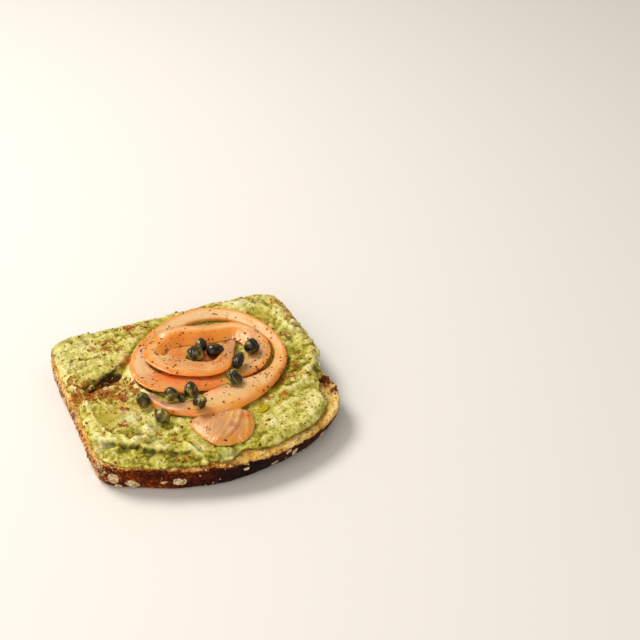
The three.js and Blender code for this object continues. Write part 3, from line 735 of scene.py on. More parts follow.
def fromMap(values, x, y):  # reads a map between its points
    width, depth = avocado["mapReach"]
    u = (x + width) / avocado["mapStep"]
    v = (y + depth) / avocado["mapStep"]
    i = np.clip(u.astype(int), 0, values.shape[1] - 2)
    j = np.clip(v.astype(int), 0, values.shape[0] - 2)
    s, t = u - i, v - j
    near = values[j, i] * (1 - s) + values[j, i + 1] * s
    return near * (1 - t) + (values[j + 1, i] * (1 - s) + values[j + 1, i + 1] * s) * t


def avocadoMaterial():  # ripe avocado mashed with a fork: moist, oily, slightly see-through paste
    material, tree, output = newMaterial("mashed ripe avocado")
    place = addNode(tree, "ShaderNodeTexCoord").outputs["Object"]
    grain, speck = [
        addNode(tree, "ShaderNodeTexNoise", None, {
            "Vector": place, "Scale": 1000 / size, "Detail": 5, "Roughness": 0.7}).outputs["Fac"]
        for size in (avocado["grainSize"], avocado["speckSize"])]
    # relief paints shade and light into the colour: darker in hollows, lighter on crests
    relief = addNode(tree, "ShaderNodeAttribute", {"attribute_name": "relief"}).outputs["Fac"]
    level = addNode(tree, "ShaderNodeMath", {"operation": "MULTIPLY_ADD"}, {
        0: grain, 1: avocado["grainContrast"], 2: relief}).outputs[0]
    colour = addNode(tree, "ShaderNodeValToRGB", None, {"Fac": level},
                     avocado["fleshColours"]).outputs["Color"]
    for label, hexColour in avocado["stainColours"].items():
        amount = addNode(tree, "ShaderNodeAttribute", {"attribute_name": label}).outputs["Fac"]
        colour = addNode(tree, "ShaderNodeMix", {"data_type": "RGBA"}, {
            "Factor": amount, 6: colour, 7: linear(hexColour)}).outputs[2]
    spice = addNode(tree, "ShaderNodeAttribute", {"attribute_name": "spice"}).outputs["Fac"]
    dusted = addNode(tree, "ShaderNodeMath", {"operation": "MULTIPLY_ADD"}, {
        0: spice, 1: 0.4, 2: speck}).outputs[0]
    dusted = addNode(tree, "ShaderNodeMapRange", None, {
        "Value": dusted, "From Min": 0.66, "From Max": 0.8, "To Max": 0.85}).outputs[0]
    colour = addNode(tree, "ShaderNodeMix", {"data_type": "RGBA"}, {
        "Factor": dusted, 6: colour, 7: linear(avocado["dustColour"])}).outputs[2]
    bump = addNode(tree, "ShaderNodeBump", None, {"Height": grain, "Strength": 0.8, "Distance": 0.0011})
    shader = addNode(tree, "ShaderNodeBsdfPrincipled", None, {
        "Base Color": colour, "Roughness": 0.3, "IOR": 1.4, "Normal": bump.outputs[0],
        "Coat Weight": 0.12, "Coat Roughness": 0.1, "Specular IOR Level": 0.26,
        "Subsurface Weight": 0.15, "Subsurface Radius": (1.0, 0.85, 0.35), "Subsurface Scale": 0.0008})
    tree.links.new(shader.outputs[0], output.inputs["Surface"])
    return material


def spreadBorder():  # ragged outline of the spread, calmer where the edge is steep
    loop = smoothLoop(avocado["outline"], avocado["sides"])
    flat = np.column_stack([loop, np.zeros(len(loop))])
    steep = patchStrength(loop[:, 0], loop[:, 1], avocado["steepEdge"])
    push = (0.8 * latticeNoise(flat, 3.4, 41) + 0.6 * latticeNoise(flat, 1.3, 42)) * (1 - 0.65 * steep)
    return loop - inwardNormals(loop) * push[:, None]


def spreadTop(border):  # the top from the edge to the middle, and how far each point stands out
    count = len(border)
    steps = np.r_[0, np.cumsum(np.interp(np.arange(avocado["rings"]), [0, 50, 60], [1, 1, 1.55]))]
    shares = 1 - steps * avocado["edgeStep"] / avocado["meanReach"]
    loops = np.array([border * share for share in shares[shares > 0.03]])
    x, y = loops.reshape(-1, 2).T
    fromEdge = np.full(len(x), np.inf)
    for bx, by in smoothLoop(avocado["outline"], 420):
        fromEdge = np.minimum(fromEdge, (x - bx) ** 2 + (y - by) ** 2)
    fromEdge = np.sqrt(fromEdge)
    fromEdge[:count] = 0
    steep = patchStrength(x, y, avocado["steepEdge"])
    height, above = spreadMap()
    share = avocado["edgeShare"] + 0.2 * steep
    rounding = avocado["edgeRound"] - 1.6 * steep
    thick = fromMap(height, x, y) * (share + (1 - share) * smoothStep(0, 1, fromEdge / rounding))
    thick = np.maximum(thick, 0.15)
    relief = fromMap(above, x, y)
    lip, plateau = distanceToPath(x, y, avocado["lip"])
    lean = avocado["overhang"] * plateau * np.exp(-((lip / 1.9) ** 2)) * smoothStep(1.5, 3.6, thick)
    x = x + lean * 0.45
    y = y - lean * 0.9
    return np.column_stack([x, y, breadTop + thick]).reshape(len(loops), count, 3), relief


def spreadSkirt(border, rim):  # the rounded edge of the spread, from the bread up
    inward = inwardNormals(border)
    skirt = []
    for outward, share in [(-1.2, 0), (-0.25, 0.03), (0.12, 0.3), (0.3, 0.62), (0.2, 0.88)]:
        out = border - inward * (outward * np.minimum(rim, 1.5))[:, None]
        skirt.append(np.column_stack([out, breadTop - 0.12 + (rim + 0.12) * share]))
    return np.array(skirt)


def mashValues(rings, relief):  # how light, spiced, oily or pale each point of the mash is
    x, y = rings[:, :, :2].reshape(-1, 2).T
    ragged = 1 + 0.5 * latticeNoise(np.column_stack([x, y]), 1.7, 44)
    spots = rings.reshape(-1, 3)
    blotch = 0.09 * latticeNoise(spots, 7, 45) + 0.06 * latticeNoise(spots, 2.6, 46)
    # painted shade from the shaded patches, less where the mash is lighter
    bruised = patchStrength(x, y, avocado["shaded"]) - 0.75 * patchStrength(x, y, avocado["lighterPatches"])
    lip, _ = distanceToPath(x, y, avocado["lip"])
    maps = {
        # relief: painted shade in hollows, along the overhanging lip and in the shaded patches, painted light
        # on crests
        "relief": 0.42 * relief + blotch - 0.02 - 0.16 * bruised - 0.3 * np.exp(-((lip / 2.4) ** 2)),
        "spice": patchStrength(x, y, avocado["spicePatches"]) * ragged,
        "stain": 0.85 * np.clip(patchStrength(x, y, avocado["oilStains"]) * ragged, 0, 1),
        "oily": 0.75 * np.clip(patchStrength(x, y, avocado["oilyGreen"]) * ragged, 0, 1),
        "pale": 0.6 * np.clip(patchStrength(x, y, avocado["paleSpots"]) * ragged, 0, 1),
        # painted shade: the bread showing in the gap
        "bare": np.clip(gapShare(x, y) * (0.7 + 0.5 * latticeNoise(spots, 1.2, 47)), 0, 1),
    }
    return {label: ringValues(row.reshape(rings.shape[:2])) for label, row in maps.items()}


def makeAvocado():
    border = spreadBorder()
    top, relief = spreadTop(border)
    skirt = spreadSkirt(border, top[0][:, 2] - breadTop)
    rings = np.concatenate([skirt, top])
    low = np.repeat(np.array([-1, -0.9, -0.6, -0.3, -0.1]), len(border))
    relief = np.r_[low + np.tile(relief[:len(border)], len(skirt)), relief]  # painted shade: the skirt's foot is painted darker where the mash meets the bread
    points, faces = ringSolid(rings)
    piece = meshPiece("avocado", points, faces, avocadoMaterial(), mashValues(rings, relief), flip=True)
    settle(piece, "avocado", "avocado")
    return piece


avocadoPiece = makeAvocado()
print("avocado:", len(avocadoPiece.data.polygons), "faces")


# smoked salmon: two strips wound into a loose rosette, and a folded end

salmon = {
    "thickness": (1.1, 1.4),  # at a strip's inner and outer edge
    # share of a strip's climb that is a wall at its inner edge, the wall's share of the width, and how
    # far the outer edge hangs down at the back and at the front
    "outerShape": (0.25, 0.12, 0.1, 2.3),
    "innerShape": (0.92, 0.62, 0.1, 1.3),
    # length and width of the fibres that run along a strip, over the thin sheet and over the end
    "fibre": (18, 1.2),
    "floorFibre": (6, 1.4),
    "tailFibre": (12, 1.3),
    "cloudSize": 6,  # soft clouds of tone in the flesh, and ripples of the wet film on it
    "filmSize": 2.4,
    "fleshColours": [(0.85, "#bc6a20"), (1.35, "#ecd090"), (1.02, "#c88632"), (1.16, "#d8a64c")],
    # steep and rim are painted light: the orange glow of light through walls and thin edges
    "toneColours": {
        "pale": "#fbdab0", "gold": "#e29c1c", "steep": "#ff9a0a", "red": "#f06018", "fat": "#b8846e",
        "rim": "#ee8c00"},
    "toneStrengths": {"pale": 0.75, "gold": 0.8, "red": 0.85, "fat": 0.9},
    "veinColour": "#ffe3c0",
    "step": 0.5,
    "across": 30,
    # centre line of each strip: x, y, width, height of the inner edge and of the outer
    "outer": [
        (-27.3, -2.5, 2.4, 18.6, 18.8), (-26, -8, 4, 18.4, 19.2), (-22.8, -13, 6, 18.1, 19.6),
        (-17, -17.3, 8.5, 18.1, 20.2), (-8.5, -19.2, 13, 18.1, 20.2), (2, -18.5, 18.5, 18.1, 20.8),
        (12.5, -16.8, 18, 18.1, 20.8), (23, -14.2, 12.5, 18.1, 20.8), (32.3, -9.2, 8.5, 18.1, 20.8),
        (38.6, -2, 6.4, 18.1, 20.6), (41.6, 7.5, 5, 18.1, 20.2), (40.9, 17.5, 5.2, 18.1, 20.2),
        (37.6, 26.8, 6, 18.1, 20.3), (32.2, 35.2, 6.8, 18.1, 20.4), (24.3, 41.3, 7.2, 18.1, 20.6),
        (14, 44.2, 7.6, 18.1, 20.8), (3.5, 42.8, 7.6, 18.1, 21), (-5.5, 38.6, 7, 18.1, 21.2),
        (-13.8, 33.4, 6.6, 18.1, 21.4), (-20.3, 26.6, 7, 18.1, 21.4), (-24.6, 17.6, 9.2, 18.2, 21.2),
        (-24, 8.8, 12.8, 18.5, 20.4), (-19, 3.2, 15, 18.9, 19.9), (-10.8, -1, 15, 19.2, 20.4),
        (-1, -3.6, 13.8, 19.1, 20.1), (8.5, -5.4, 13.4, 18.7, 19.6), (16, -6.4, 12, 18.2, 18.6),
    ],
    "inner": [
        (15.8, -4.6, 4.6, 18.7, 18.7), (22, -2.2, 9.5, 18.7, 19), (29, 3.2, 11.5, 18.7, 19.8),
        (32, 11, 11.6, 18.7, 20.3), (30.8, 19.4, 11.4, 18.6, 20.8), (25.4, 25.8, 10.6, 18.5, 21),
        (17.5, 26.8, 9.8, 18.4, 21.4), (9, 27.8, 9.8, 18.3, 22.3), (1, 30.2, 10, 18.2, 22.8),
        (-6, 30.6, 9.6, 18.2, 22.8), (-9.2, 29.6, 9, 18.2, 21.4), (-12.6, 27.4, 9, 18.3, 21.2),
        (-15.8, 23.4, 9.6, 19, 21.4), (-16.4, 18.4, 11, 20.4, 21.9), (-14, 13.4, 12.8, 21.2, 22.2),
        (-9.6, 8, 13.4, 21.5, 22.4), (-3.6, 3.4, 11.5, 21.6, 22.5), (3, 0.8, 11, 21.6, 22.5),
        (9.2, 0.9, 9.6, 21.4, 22.3), (13.6, 4.8, 6.4, 21, 21.9), (16.8, 9.8, 5, 20.4, 21.5),
        (19.4, 14, 4.6, 19.7, 20.9), (21.2, 17.6, 4.4, 18.4, 19.4), (22.4, 21.4, 4.4, 17.2, 17.6),
    ],
    # tones of each piece: x, y, radius, strength
    "outerTones": {
        # pale: in part paler flesh, in part painted light on the broad tops of the strips
        "pale": [
            (-25, -8, 4, 0.5), (-26, 19, 9, 1), (-23, 29, 7, 0.8), (-28, 12, 6, 0.7), (-8, 40, 8, 0.7),
            (8, 44, 11, 0.7), (22, 43, 8, 0.5), (42, 12, 8, 0.3), (12, -16, 8, 0.35), (-2, -13, 6, 0.4),
            (33, 36, 6, 0.4),
        ],
        "gold": [
            (-17, 31, 4, 1), (-12, 33, 4, 1), (6, -26, 9, 0.9), (20, -22, 8, 1), (33, -12, 8, 0.9),
            (41, 0, 8, 0.8), (42, 16, 9, 0.7), (37, 30, 8, 0.5), (-4, -27, 7, 1), (-12, -23, 5, 0.9),
            (-29, 4, 5, 0.4), (-14, 2, 4, 0.3),
        ],
        # red: painted shade, the deep red-orange band under the raised front edge of the inner strip
        "red": [
            (-12, 1, 7, 1), (-5, -5, 7, 1), (2, -7, 6, 1), (-18, 6, 6, 0.8), (10, -8, 5, 0.6),
            (-22, 2, 5, 0.4), (-14, 10, 6, 0.5),
        ],
        "fat": [(-26, -6, 4.5, 1), (-22.5, -12, 4.5, 1), (-17, -16, 4, 0.9), (-12, -15, 4, 0.5)],
    },
    "innerTones": {
        # pale: in part paler flesh, in part painted light on the tops of the strip
        "pale": [
            (-3, 34, 7, 0.9), (6, 31, 8, 0.7), (-15, 17, 6, 0.6), (-6, 6, 6, 0.35), (4, 2, 5, 0.35),
            (32, 8, 6, 0.5), (33, 16, 6, 0.5), (22, 27, 7, 0.3), (27, 0, 6, 0.7),
        ],
        "gold": [
            (-12, 29, 5, 1), (-18, 24, 4, 0.8), (2, 25, 8, 0.7), (12, 23, 7, 0.6), (20, 22, 5, 0.5),
            (-19, 15, 3, 0.6), (-10, 5, 4, 0.3),
        ],
        "red": [
            (14, 0, 5, 0.5), (8, 3, 6, 0.5), (-2, 3, 7, 0.4), (-10, 9, 5, 0.35), (27, 6, 6, 0.25),
            (-2, 24, 5, 0.35), (8, 22.5, 5, 0.45), (-8, 13, 4, 0.4),
        ],
        "fat": [
            (22, 19.5, 3.4, 1), (20.5, 15, 4, 1), (17.5, 10.5, 3.6, 1), (14, 6.5, 3.4, 0.7),
            (30, 1, 5, 0.1), (23, -3, 4, 0.2), (34, 20, 4, 0.3),
        ],
    },
    "floorTones": {
        "pale": [(-12, 22, 3, 0.4), (3, 11, 3, 0.2)],
        "gold": [(-4, 22, 6, 0.5), (4, 20, 7, 0.6)],
        "red": [(-5, 18, 7, 0.7), (6, 13, 8, 0.7), (12, 15, 6, 0.6), (-8, 24, 5, 0.5)],
        "fat": [(-11, 25, 2, 0.5)],
    },
    "tailTones": {
        "pale": [
            (-13, -28.5, 4.4, 0.7), (-9.5, -31.5, 4, 0.5), (2.1, -35, 2, 0.7), (-2.5, -39.5, 1.8, 0.6),
            (5, -31.5, 1.8, 0.6),
        ],
        "gold": [
            (7.5, -36, 5, 0.9), (8, -42, 4, 0.9), (-2, -45.6, 4, 0.7), (-14.4, -38.5, 3, 1),
            (-2, -32, 3, 0.8), (-11, -43.5, 3, 0.8),
        ],
        "red": [(-8, -28, 5, 0.4), (9, -33, 4, 0.4), (0, -43, 6, 0.2)],
        "fat": [
            (-15, -27.4, 4.4, 0.45), (-5.5, -35, 4.5, 0.7), (-3, -37, 12, 0.4), (-0.5, -35, 2.4, 0.6),
            (-5, -40, 2.4, 0.6), (3, -38, 2, 0.6),
        ],
    },
    # a thin sheet lies as a floor inside the inner strip, with one small flap turned up
    "floor": [
        (-14, 20), (-12, 26), (-4, 28), (6, 27.5), (14, 25.5), (20, 21), (19.5, 13), (15, 6.5), (8, 3.5),
        (0, 5), (-7, 9), (-12, 14),
    ],
    "flap": [(-7, 28), (-5.8, 25.4), (-6.2, 22.6)],
    # inner edge of the strip's near side, where the sheet climbs
    "floorBank": [
        (-12.5, 24), (-11, 19.4), (-8.6, 16.9), (-5, 12.8), (-0.75, 8.4), (4.05, 6.2), (7.5, 5.4),
        (11.2, 6.9), (14.4, 11),
    ],
    "floorRise": 3.6,
    "floorLevel": 17.5,
    "floorRings": 56,
    "tailCentre": (-2, -23.3),
    "tailReach": (14.5, 23.7),
    "tailArc": (-176, -14),
    "tailLevel": 17.95,
    "tailThickness": 1.24,
    "tailCrown": 0.9,
    # crest of each fold of the end, its height, and its reach on the near and on the far side
    "tailFolds": [
        ([(8, -27), (6.4, -30.5), (4.2, -34.5), (1, -38.6), (-3, -41.6), (-7, -43)], 0.9, (2.6, 0.9)),
        ([(3.5, -28.5), (0.3, -33.5), (-5.2, -39.2), (-9.2, -42.2), (-13, -44.4)], 1, (0.7, 3)),
        ([(9.5, -31), (8.1, -35.4), (6, -41.3), (3.9, -44.8)], 0.5, (0.9, 1.1)),
        ([(-6, -26), (-10, -33), (-13, -38.5)], 0.3, (2, 3)),
    ],
    "tailSquare": 0.8,
    # places where the seasoning lies thick: x, y, radius, strength
    "pepperPatches": [
        (25, -8, 7, 1), (-14, 14, 7, 0.6), (20, -16, 7, 0.4), (8, -13, 8, 0.3), (-18, 24, 5, 0.5),
        (-8, 20, 9, 1), (4, 14, 7, 0.9), (30, 0, 6, 0.6), (34, 12, 6, 0.5), (-10, 38, 4, 0.5),
        (-26, 2, 5, 0.6), (-1, 5, 5, 0.4), (12, 24, 6, 0.2), (-22, 30, 4, 0.4),
    ],
}


def salmonMaterial():  # cold smoked salmon: wet translucent flesh, with painted light: steep walls and thin edges painted orange as if lit through
    material, tree, output = newMaterial("cold smoked salmon")
    place = addNode(tree, "ShaderNodeTexCoord").outputs["Object"]
    cloud = addNode(tree, "ShaderNodeTexNoise", None, {
        "Vector": place, "Scale": 1000 / salmon["cloudSize"], "Detail": 4, "Roughness": 0.6}).outputs["Fac"]
    flow = addNode(tree, "ShaderNodeAttribute", {"attribute_name": "flow"}).outputs["Vector"]
    fibre = addNode(tree, "ShaderNodeTexNoise", None, {
        "Vector": flow, "Scale": 1, "Detail": 4, "Roughness": 0.65, "Distortion": 0.4}).outputs["Fac"]
    shade = addNode(tree, "ShaderNodeMath", {"operation": "MULTIPLY_ADD"}, {
        0: fibre, 1: 1.1, 2: cloud}).outputs[0]
    colour = addNode(tree, "ShaderNodeValToRGB", None, {"Fac": shade},
                     salmon["fleshColours"]).outputs["Color"]
    for label, hexColour in salmon["toneColours"].items():
        amount = addNode(tree, "ShaderNodeAttribute", {"attribute_name": label}).outputs["Fac"]
        colour = addNode(tree, "ShaderNodeMix", {"data_type": "RGBA"}, {
            "Factor": amount, 6: colour, 7: linear(hexColour)}).outputs[2]
    veins = addNode(tree, "ShaderNodeMapRange", None, {
        "Value": fibre, "From Min": 0.56, "From Max": 0.7, "To Max": 0.45}).outputs[0]
    colour = addNode(tree, "ShaderNodeMix", {"data_type": "RGBA"}, {
        "Factor": veins, 6: colour, 7: linear(salmon["veinColour"])}).outputs[2]
    bump = addNode(tree, "ShaderNodeBump", None, {"Height": fibre, "Strength": 0.3, "Distance": 0.0006})
    film = addNode(tree, "ShaderNodeTexNoise", None, {
        "Vector": place, "Scale": 1000 / salmon["filmSize"], "Detail": 2})
    ripple = addNode(tree, "ShaderNodeBump", None, {
        "Height": film.outputs["Fac"], "Strength": 0.5, "Distance": 0.0008, "Normal": bump.outputs[0]})
    shader = addNode(tree, "ShaderNodeBsdfPrincipled", None, {
        "Base Color": colour, "Roughness": 0.4, "IOR": 1.42, "Normal": bump.outputs[0],
        "Coat Normal": ripple.outputs[0],
        "Subsurface Weight": 1.0, "Subsurface Radius": (1.0, 0.6, 0.25), "Subsurface Scale": 0.002,
        "Coat Weight": 0.6, "Coat Roughness": 0.14})
    tree.links.new(shader.outputs[0], output.inputs["Surface"])
    return material


def toneValues(tones, rings):  # how much of each tone at each point
    x, y = rings[:, :, :2].reshape(-1, 2).T
    ragged = 1 + 0.35 * latticeNoise(np.column_stack([x, y]), 3, 57)
    values = {}
    for label, patches in tones.items():
        amount = np.clip(salmon["toneStrengths"][label] * patchStrength(x, y, patches) * ragged, 0, 1)
        values[label] = ringValues(amount.reshape(rings.shape[:2]))
    return values


def steepness(rings):  # 0 on flat flesh, 1 on a wall, where orange is painted as light glowing through
    along = np.gradient(rings, axis=0)
    across = np.roll(rings, -1, 1) - np.roll(rings, 1, 1)
    facing = np.cross(along, across)
    up = np.abs(facing[:, :, 2]) / (np.linalg.norm(facing, axis=2) + 1e-9)
    return ringValues(0.85 * smoothStep(0.93, 0.5, up))


def flowValues(flow):  # a vector for each ring point, carried on to the two end points
    return np.column_stack([ringValues(flow[:, :, k]) for k in range(3)])


def stripRings(stations, wall, wallWidth, sagBack, sagFront):  # rings along a strip, fibres and tints
    rows, along = smoothPath(stations, salmon["step"])
    tangent = np.gradient(rows[:, :2], axis=0)
    tangent /= np.hypot(*tangent.T)[:, None]
    outward = np.column_stack([tangent[:, 1], -tangent[:, 0]])
    v = -np.cos(np.linspace(0, np.pi, salmon["across"]))
    v = np.r_[v, v[-2:0:-1]]
    side = np.r_[np.ones(salmon["across"]), -np.ones(salmon["across"] - 2)]
    s = (v + 1) / 2
    width, low, high = (rows[:, k][:, None] for k in (2, 3, 4))
    path = np.column_stack([rows[:, :2], np.zeros(len(rows))])
    width = width * (1 + 0.05 * latticeNoise(path, 7, 51) + 0.025 * latticeNoise(path, 2.5, 52))[:, None]
    height = high + 0.25 * latticeNoise(path, 9, 53)[:, None] * smoothStep(0, 2, high - low)
    sag = sagBack + (sagFront - sagBack) * smoothStep(6, -12, rows[:, 1])[:, None]
    probe = 0.03
    heights = [(height - low) * (wall * smoothStep(0, wallWidth, at) + (1 - wall) * at)[None]
               - sag * smoothStep(0.7, 1.06, at)[None] for at in (s, s - probe, s + probe)]
    rise = heights[0]
    slope = (heights[2] - heights[1]) / (2 * probe * width)
    length = np.hypot(slope, 1)
    climb = smoothStep(0.8, 2.6, high - low)
    fromEdge = 0.5 * (1 - np.abs(v)) * width / np.minimum(2.6 + 2 * v, 0.36 * width)
    tints = {
        # painted light: the crest of each climb is painted pale
        "crest": 0.7 * climb * smoothStep(wallWidth - 0.18, wallWidth + 0.1, s),
        # painted light: the wall is painted orange as if lit through
        "wall": 0.8 * climb * smoothStep(wallWidth + 0.1, wallWidth - 0.15, s),
        "rim": (0.62 + 0.3 * v) * smoothStep(1, 0.15, fromEdge),
    }
    thick = salmon["thickness"][0] + (salmon["thickness"][1] - salmon["thickness"][0]) * s
    lift = 0.5 * thick * np.sqrt(1 - np.abs(v) ** 6) * side
    offset = 0.5 * v[None] * width - lift[None] * slope / length
    x = rows[:, 0][:, None] + outward[:, 0][:, None] * offset
    y = rows[:, 1][:, None] + outward[:, 1][:, None] * offset
    z = low + rise + lift[None] / length
    spots = np.column_stack([x.ravel(), y.ravel(), z.ravel()])
    bend = 4 * latticeNoise(spots, 8, 54).reshape(x.shape)
    ripple = np.sin(2.4 * (along[:, None] + 2.4 * np.abs(v)[None] + bend))  # faint, bent at the middle
    wrinkle = 0.02 * ripple + 0.16 * latticeNoise(spots, 4.5, 55).reshape(x.shape)
    z += wrinkle * (side > 0) * (1 - v**4)
    fibreLength, fibreWidth = salmon["fibre"]
    flow = np.stack([along[:, None] / fibreLength + 0 * offset, offset / fibreWidth, 0.1 * z], 2)
    return np.stack([x, y, z], 2), flow, {label: ringValues(row) for label, row in tints.items()}


def makeStrip(name, label, node, material):
    rings, flow, tints = stripRings(salmon[label], *salmon[label + "Shape"])
    values = toneValues(salmon[label + "Tones"], rings)
    values |= {"flow": flowValues(flow), "steep": steepness(rings)}
    # painted light: the crest's paleness and the wall's orange glow join the tones
    values["pale"] = np.maximum(values["pale"], tints["crest"])
    values["steep"] = np.maximum(values["steep"], tints["wall"])
    values["rim"] = tints["rim"] * (1 - values["fat"])  # light shines through the thin cut edge
    points, faces = ringSolid(rings)
    piece = meshPiece(name, points, faces, material, values)
    settle(piece, "salmon", node)
    return piece


def makeFloor(material):  # the thin sheet inside the inner strip
    loop = smoothLoop(salmon["floor"][::-1], 260)
    middle = loop.mean(0)
    shares = [0.9, 0.97, 1, 0.99, 0.96, *np.linspace(0.92, 0.04, salmon["floorRings"])]
    levels = [-0.5, -0.4, -0.1, 0.15, 0.3, *np.full(salmon["floorRings"], 0.35)]
    rings = np.array([np.column_stack([middle + (loop - middle) * w, np.full(len(loop), h)])
                      for w, h in zip(shares, levels)])
    x, y, z = rings.reshape(-1, 3).T
    spots = np.column_stack([x, y])
    reach, inside = distanceToPath(x, y, salmon["floorBank"])
    bank = smoothStep(4.4, 0, reach * inside) * smoothStep(24, 16, y)  # climbs to the strip's near side
    relief = (0.22 * latticeNoise(spots, 4, 64) + 0.14 * billow(spots, 2, 65)
              + 0.05 * latticeNoise(spots, 0.8, 66))
    distance, _ = distanceToPath(x, y, salmon["flap"])
    flap = 0.4 * np.exp(-((distance / 2.2) ** 2))
    z = salmon["floorLevel"] + z + (relief + salmon["floorRise"] * bank + flap) * (z > 0.2)
    rings = np.column_stack([x, y, z]).reshape(rings.shape)
    fibreLength, fibreWidth = salmon["floorFibre"]
    flow = np.stack([rings[:, :, 0] / fibreLength, rings[:, :, 1] / fibreWidth, 0 * rings[:, :, 0]], 2)
    values = toneValues(salmon["floorTones"], rings)
    values |= {"flow": flowValues(flow), "steep": 0.5 * steepness(rings)}
    points, faces = ringSolid(rings)
    piece = meshPiece("salmonFloor", points, faces, material, values, flip=True)
    settle(piece, "salmon")
    return piece


def makeTail(material):  # the folded end, a half round fan in front of the rosette
    spokes, steps = 180, 56
    angle = np.radians(np.linspace(*salmon["tailArc"], spokes + 1))
    reach = 0.12 + 0.88 * np.sin(np.linspace(0, np.pi / 2, steps + 1))
    reach = np.r_[reach, reach[-2::-1]]
    side = np.r_[np.ones(steps + 1), -np.ones(steps)]
    ragged = 1 + 0.02 * latticeNoise(np.column_stack([angle * 20, angle * 0]), 2.2, 61)
    wide, deep = (np.sign(part) * np.abs(part) ** salmon["tailSquare"] * ragged
                  for part in (np.cos(angle), np.sin(angle)))
    x = salmon["tailCentre"][0] + np.outer(wide, reach) * salmon["tailReach"][0]
    y = salmon["tailCentre"][1] + np.outer(deep, reach) * salmon["tailReach"][1]
    under = smoothStep(-24, -31, y)
    folds = np.zeros(x.size)
    nearest = np.full(x.size, np.inf)
    for crest, height, (right, left) in salmon["tailFolds"]:
        distance, leftShare = distanceToPath(x.ravel(), y.ravel(), crest)
        folds = np.maximum(folds, height * np.exp(-((distance / (right + (left - right) * leftShare)) ** 2)))
        nearest = np.where(distance < np.abs(nearest), distance * np.sign(leftShare - 0.5), nearest)
    folds = folds.reshape(x.shape)
    crown = salmon["tailCrown"] * (1 - reach**4)[None]
    level = salmon["tailLevel"] - 0.45 * reach[None] ** 6 + under * (crown + folds * (1 - reach**8)[None])
    lift = 0.5 * salmon["tailThickness"] * np.sqrt(1 - reach**5) * side
    spots = np.column_stack([x.ravel(), y.ravel(), x.ravel() * 0])
    wrinkle = 0.12 * latticeNoise(spots, 3, 62).reshape(x.shape) * (1 - reach**4)[None]
    z = level + lift[None] + wrinkle * (side > 0)[None]
    rings = np.stack([x, y, z], 2)
    fibreLength, fibreWidth = salmon["tailFibre"]
    flow = np.stack([(0.9 * y - 0.4 * x) / fibreLength, nearest.reshape(x.shape) / fibreWidth, 0 * x], 2)
    # painted light: the thin edge is painted orange as if lit through
    rim = 0.6 * smoothStep(0.72, 1, reach)[None] * np.ones(rings.shape[:2])
    values = toneValues(salmon["tailTones"], rings) | {
        "flow": flowValues(flow), "steep": 0.5 * steepness(rings), "rim": ringValues(rim)}
    points, faces = ringSolid(rings)
    piece = meshPiece("salmonTail", points, faces, material, values)
    settle(piece, "salmon", "salmon_tail")
    return piece


salmonFlesh = salmonMaterial()
outerPiece = makeStrip("salmonOuter", "outer", "salmon_outer", salmonFlesh)
innerPiece = makeStrip("salmonInner", "inner", "salmon_inner", salmonFlesh)
floorPiece = makeFloor(salmonFlesh)
tailPiece = makeTail(salmonFlesh)
print("salmon:", sum(len(p.data.polygons) for p in (outerPiece, innerPiece, tailPiece)), "faces")


# capers: pickled flower buds

capers = {
    # x, y, z of the middle, diameter, length, heading and pitch of the pointed end
    "buds": [
        (1.1, 13.3, 22.05, 7.8, 9.2, 33, 10), (6.4, 19.4, 21.6, 5.6, 7, 70, 30),
        (11, 12.8, 21.6, 6.6, 8.6, -11, 8), (27.6, 7, 23.7, 7.2, 7.8, 60, 25),
        (17.8, -0.2, 23.3, 5.2, 9, 45, 20), (11.6, -11.2, 22.7, 7, 8.8, -75, -15),
        (-31.4, -6.7, 20.7, 6, 7.4, 100, 30), (-19.1, -9.5, 22.3, 6.2, 7, 110, 30),
        (-10, -11.4, 23.5, 6.2, 7.2, 75, 40), (-14.6, -12.1, 20.3, 3.5, 4.4, 60, 10),
        (-9.9, -22.7, 24.65, 6.4, 6.8, -109, 30), (-27.3, -20.6, 20.9, 6.4, 8.4, 110, 20),
    ],
    "dark": (4, 5, 3),  # buds that are nearly black
    "rings": 44,
    "sides": 84,
    "ribs": 22,
    "mottleSize": 2.2,
    "colours": [
        (0.05, "#080500"), (1.0, "#dcc878"), (0.34, "#140f00"), (0.5, "#3a3004"), (0.66, "#6c5c12"),
        (0.82, "#ac9a4c"),
    ],
}


def caperMaterial():  # caper pickled in brine: dull olive skin, wet, with paler ribs
    material, tree, output = newMaterial("pickled caper skin")
    place = addNode(tree, "ShaderNodeTexCoord").outputs["Object"]
    mottle = addNode(tree, "ShaderNodeTexNoise", None, {
        "Vector": place, "Scale": 1000 / capers["mottleSize"], "Detail": 4, "Roughness": 0.6}).outputs["Fac"]
    tone = addNode(tree, "ShaderNodeAttribute", {"attribute_name": "tone"}).outputs["Fac"]
    level = addNode(tree, "ShaderNodeMath", {"operation": "MULTIPLY_ADD"}, {
        0: mottle, 1: 1.1, 2: tone}).outputs[0]
    colour = addNode(tree, "ShaderNodeValToRGB", None, {"Fac": level}, capers["colours"]).outputs["Color"]
    bump = addNode(tree, "ShaderNodeBump", None, {"Height": mottle, "Strength": 0.3, "Distance": 0.0004})
    shader = addNode(tree, "ShaderNodeBsdfPrincipled", None, {
        "Base Color": colour, "Roughness": 0.34, "IOR": 1.42, "Normal": bump.outputs[0],
        "Specular IOR Level": 0.3, "Coat Weight": 0.5, "Coat Roughness": 0.12})
    tree.links.new(shader.outputs[0], output.inputs["Surface"])
    return material


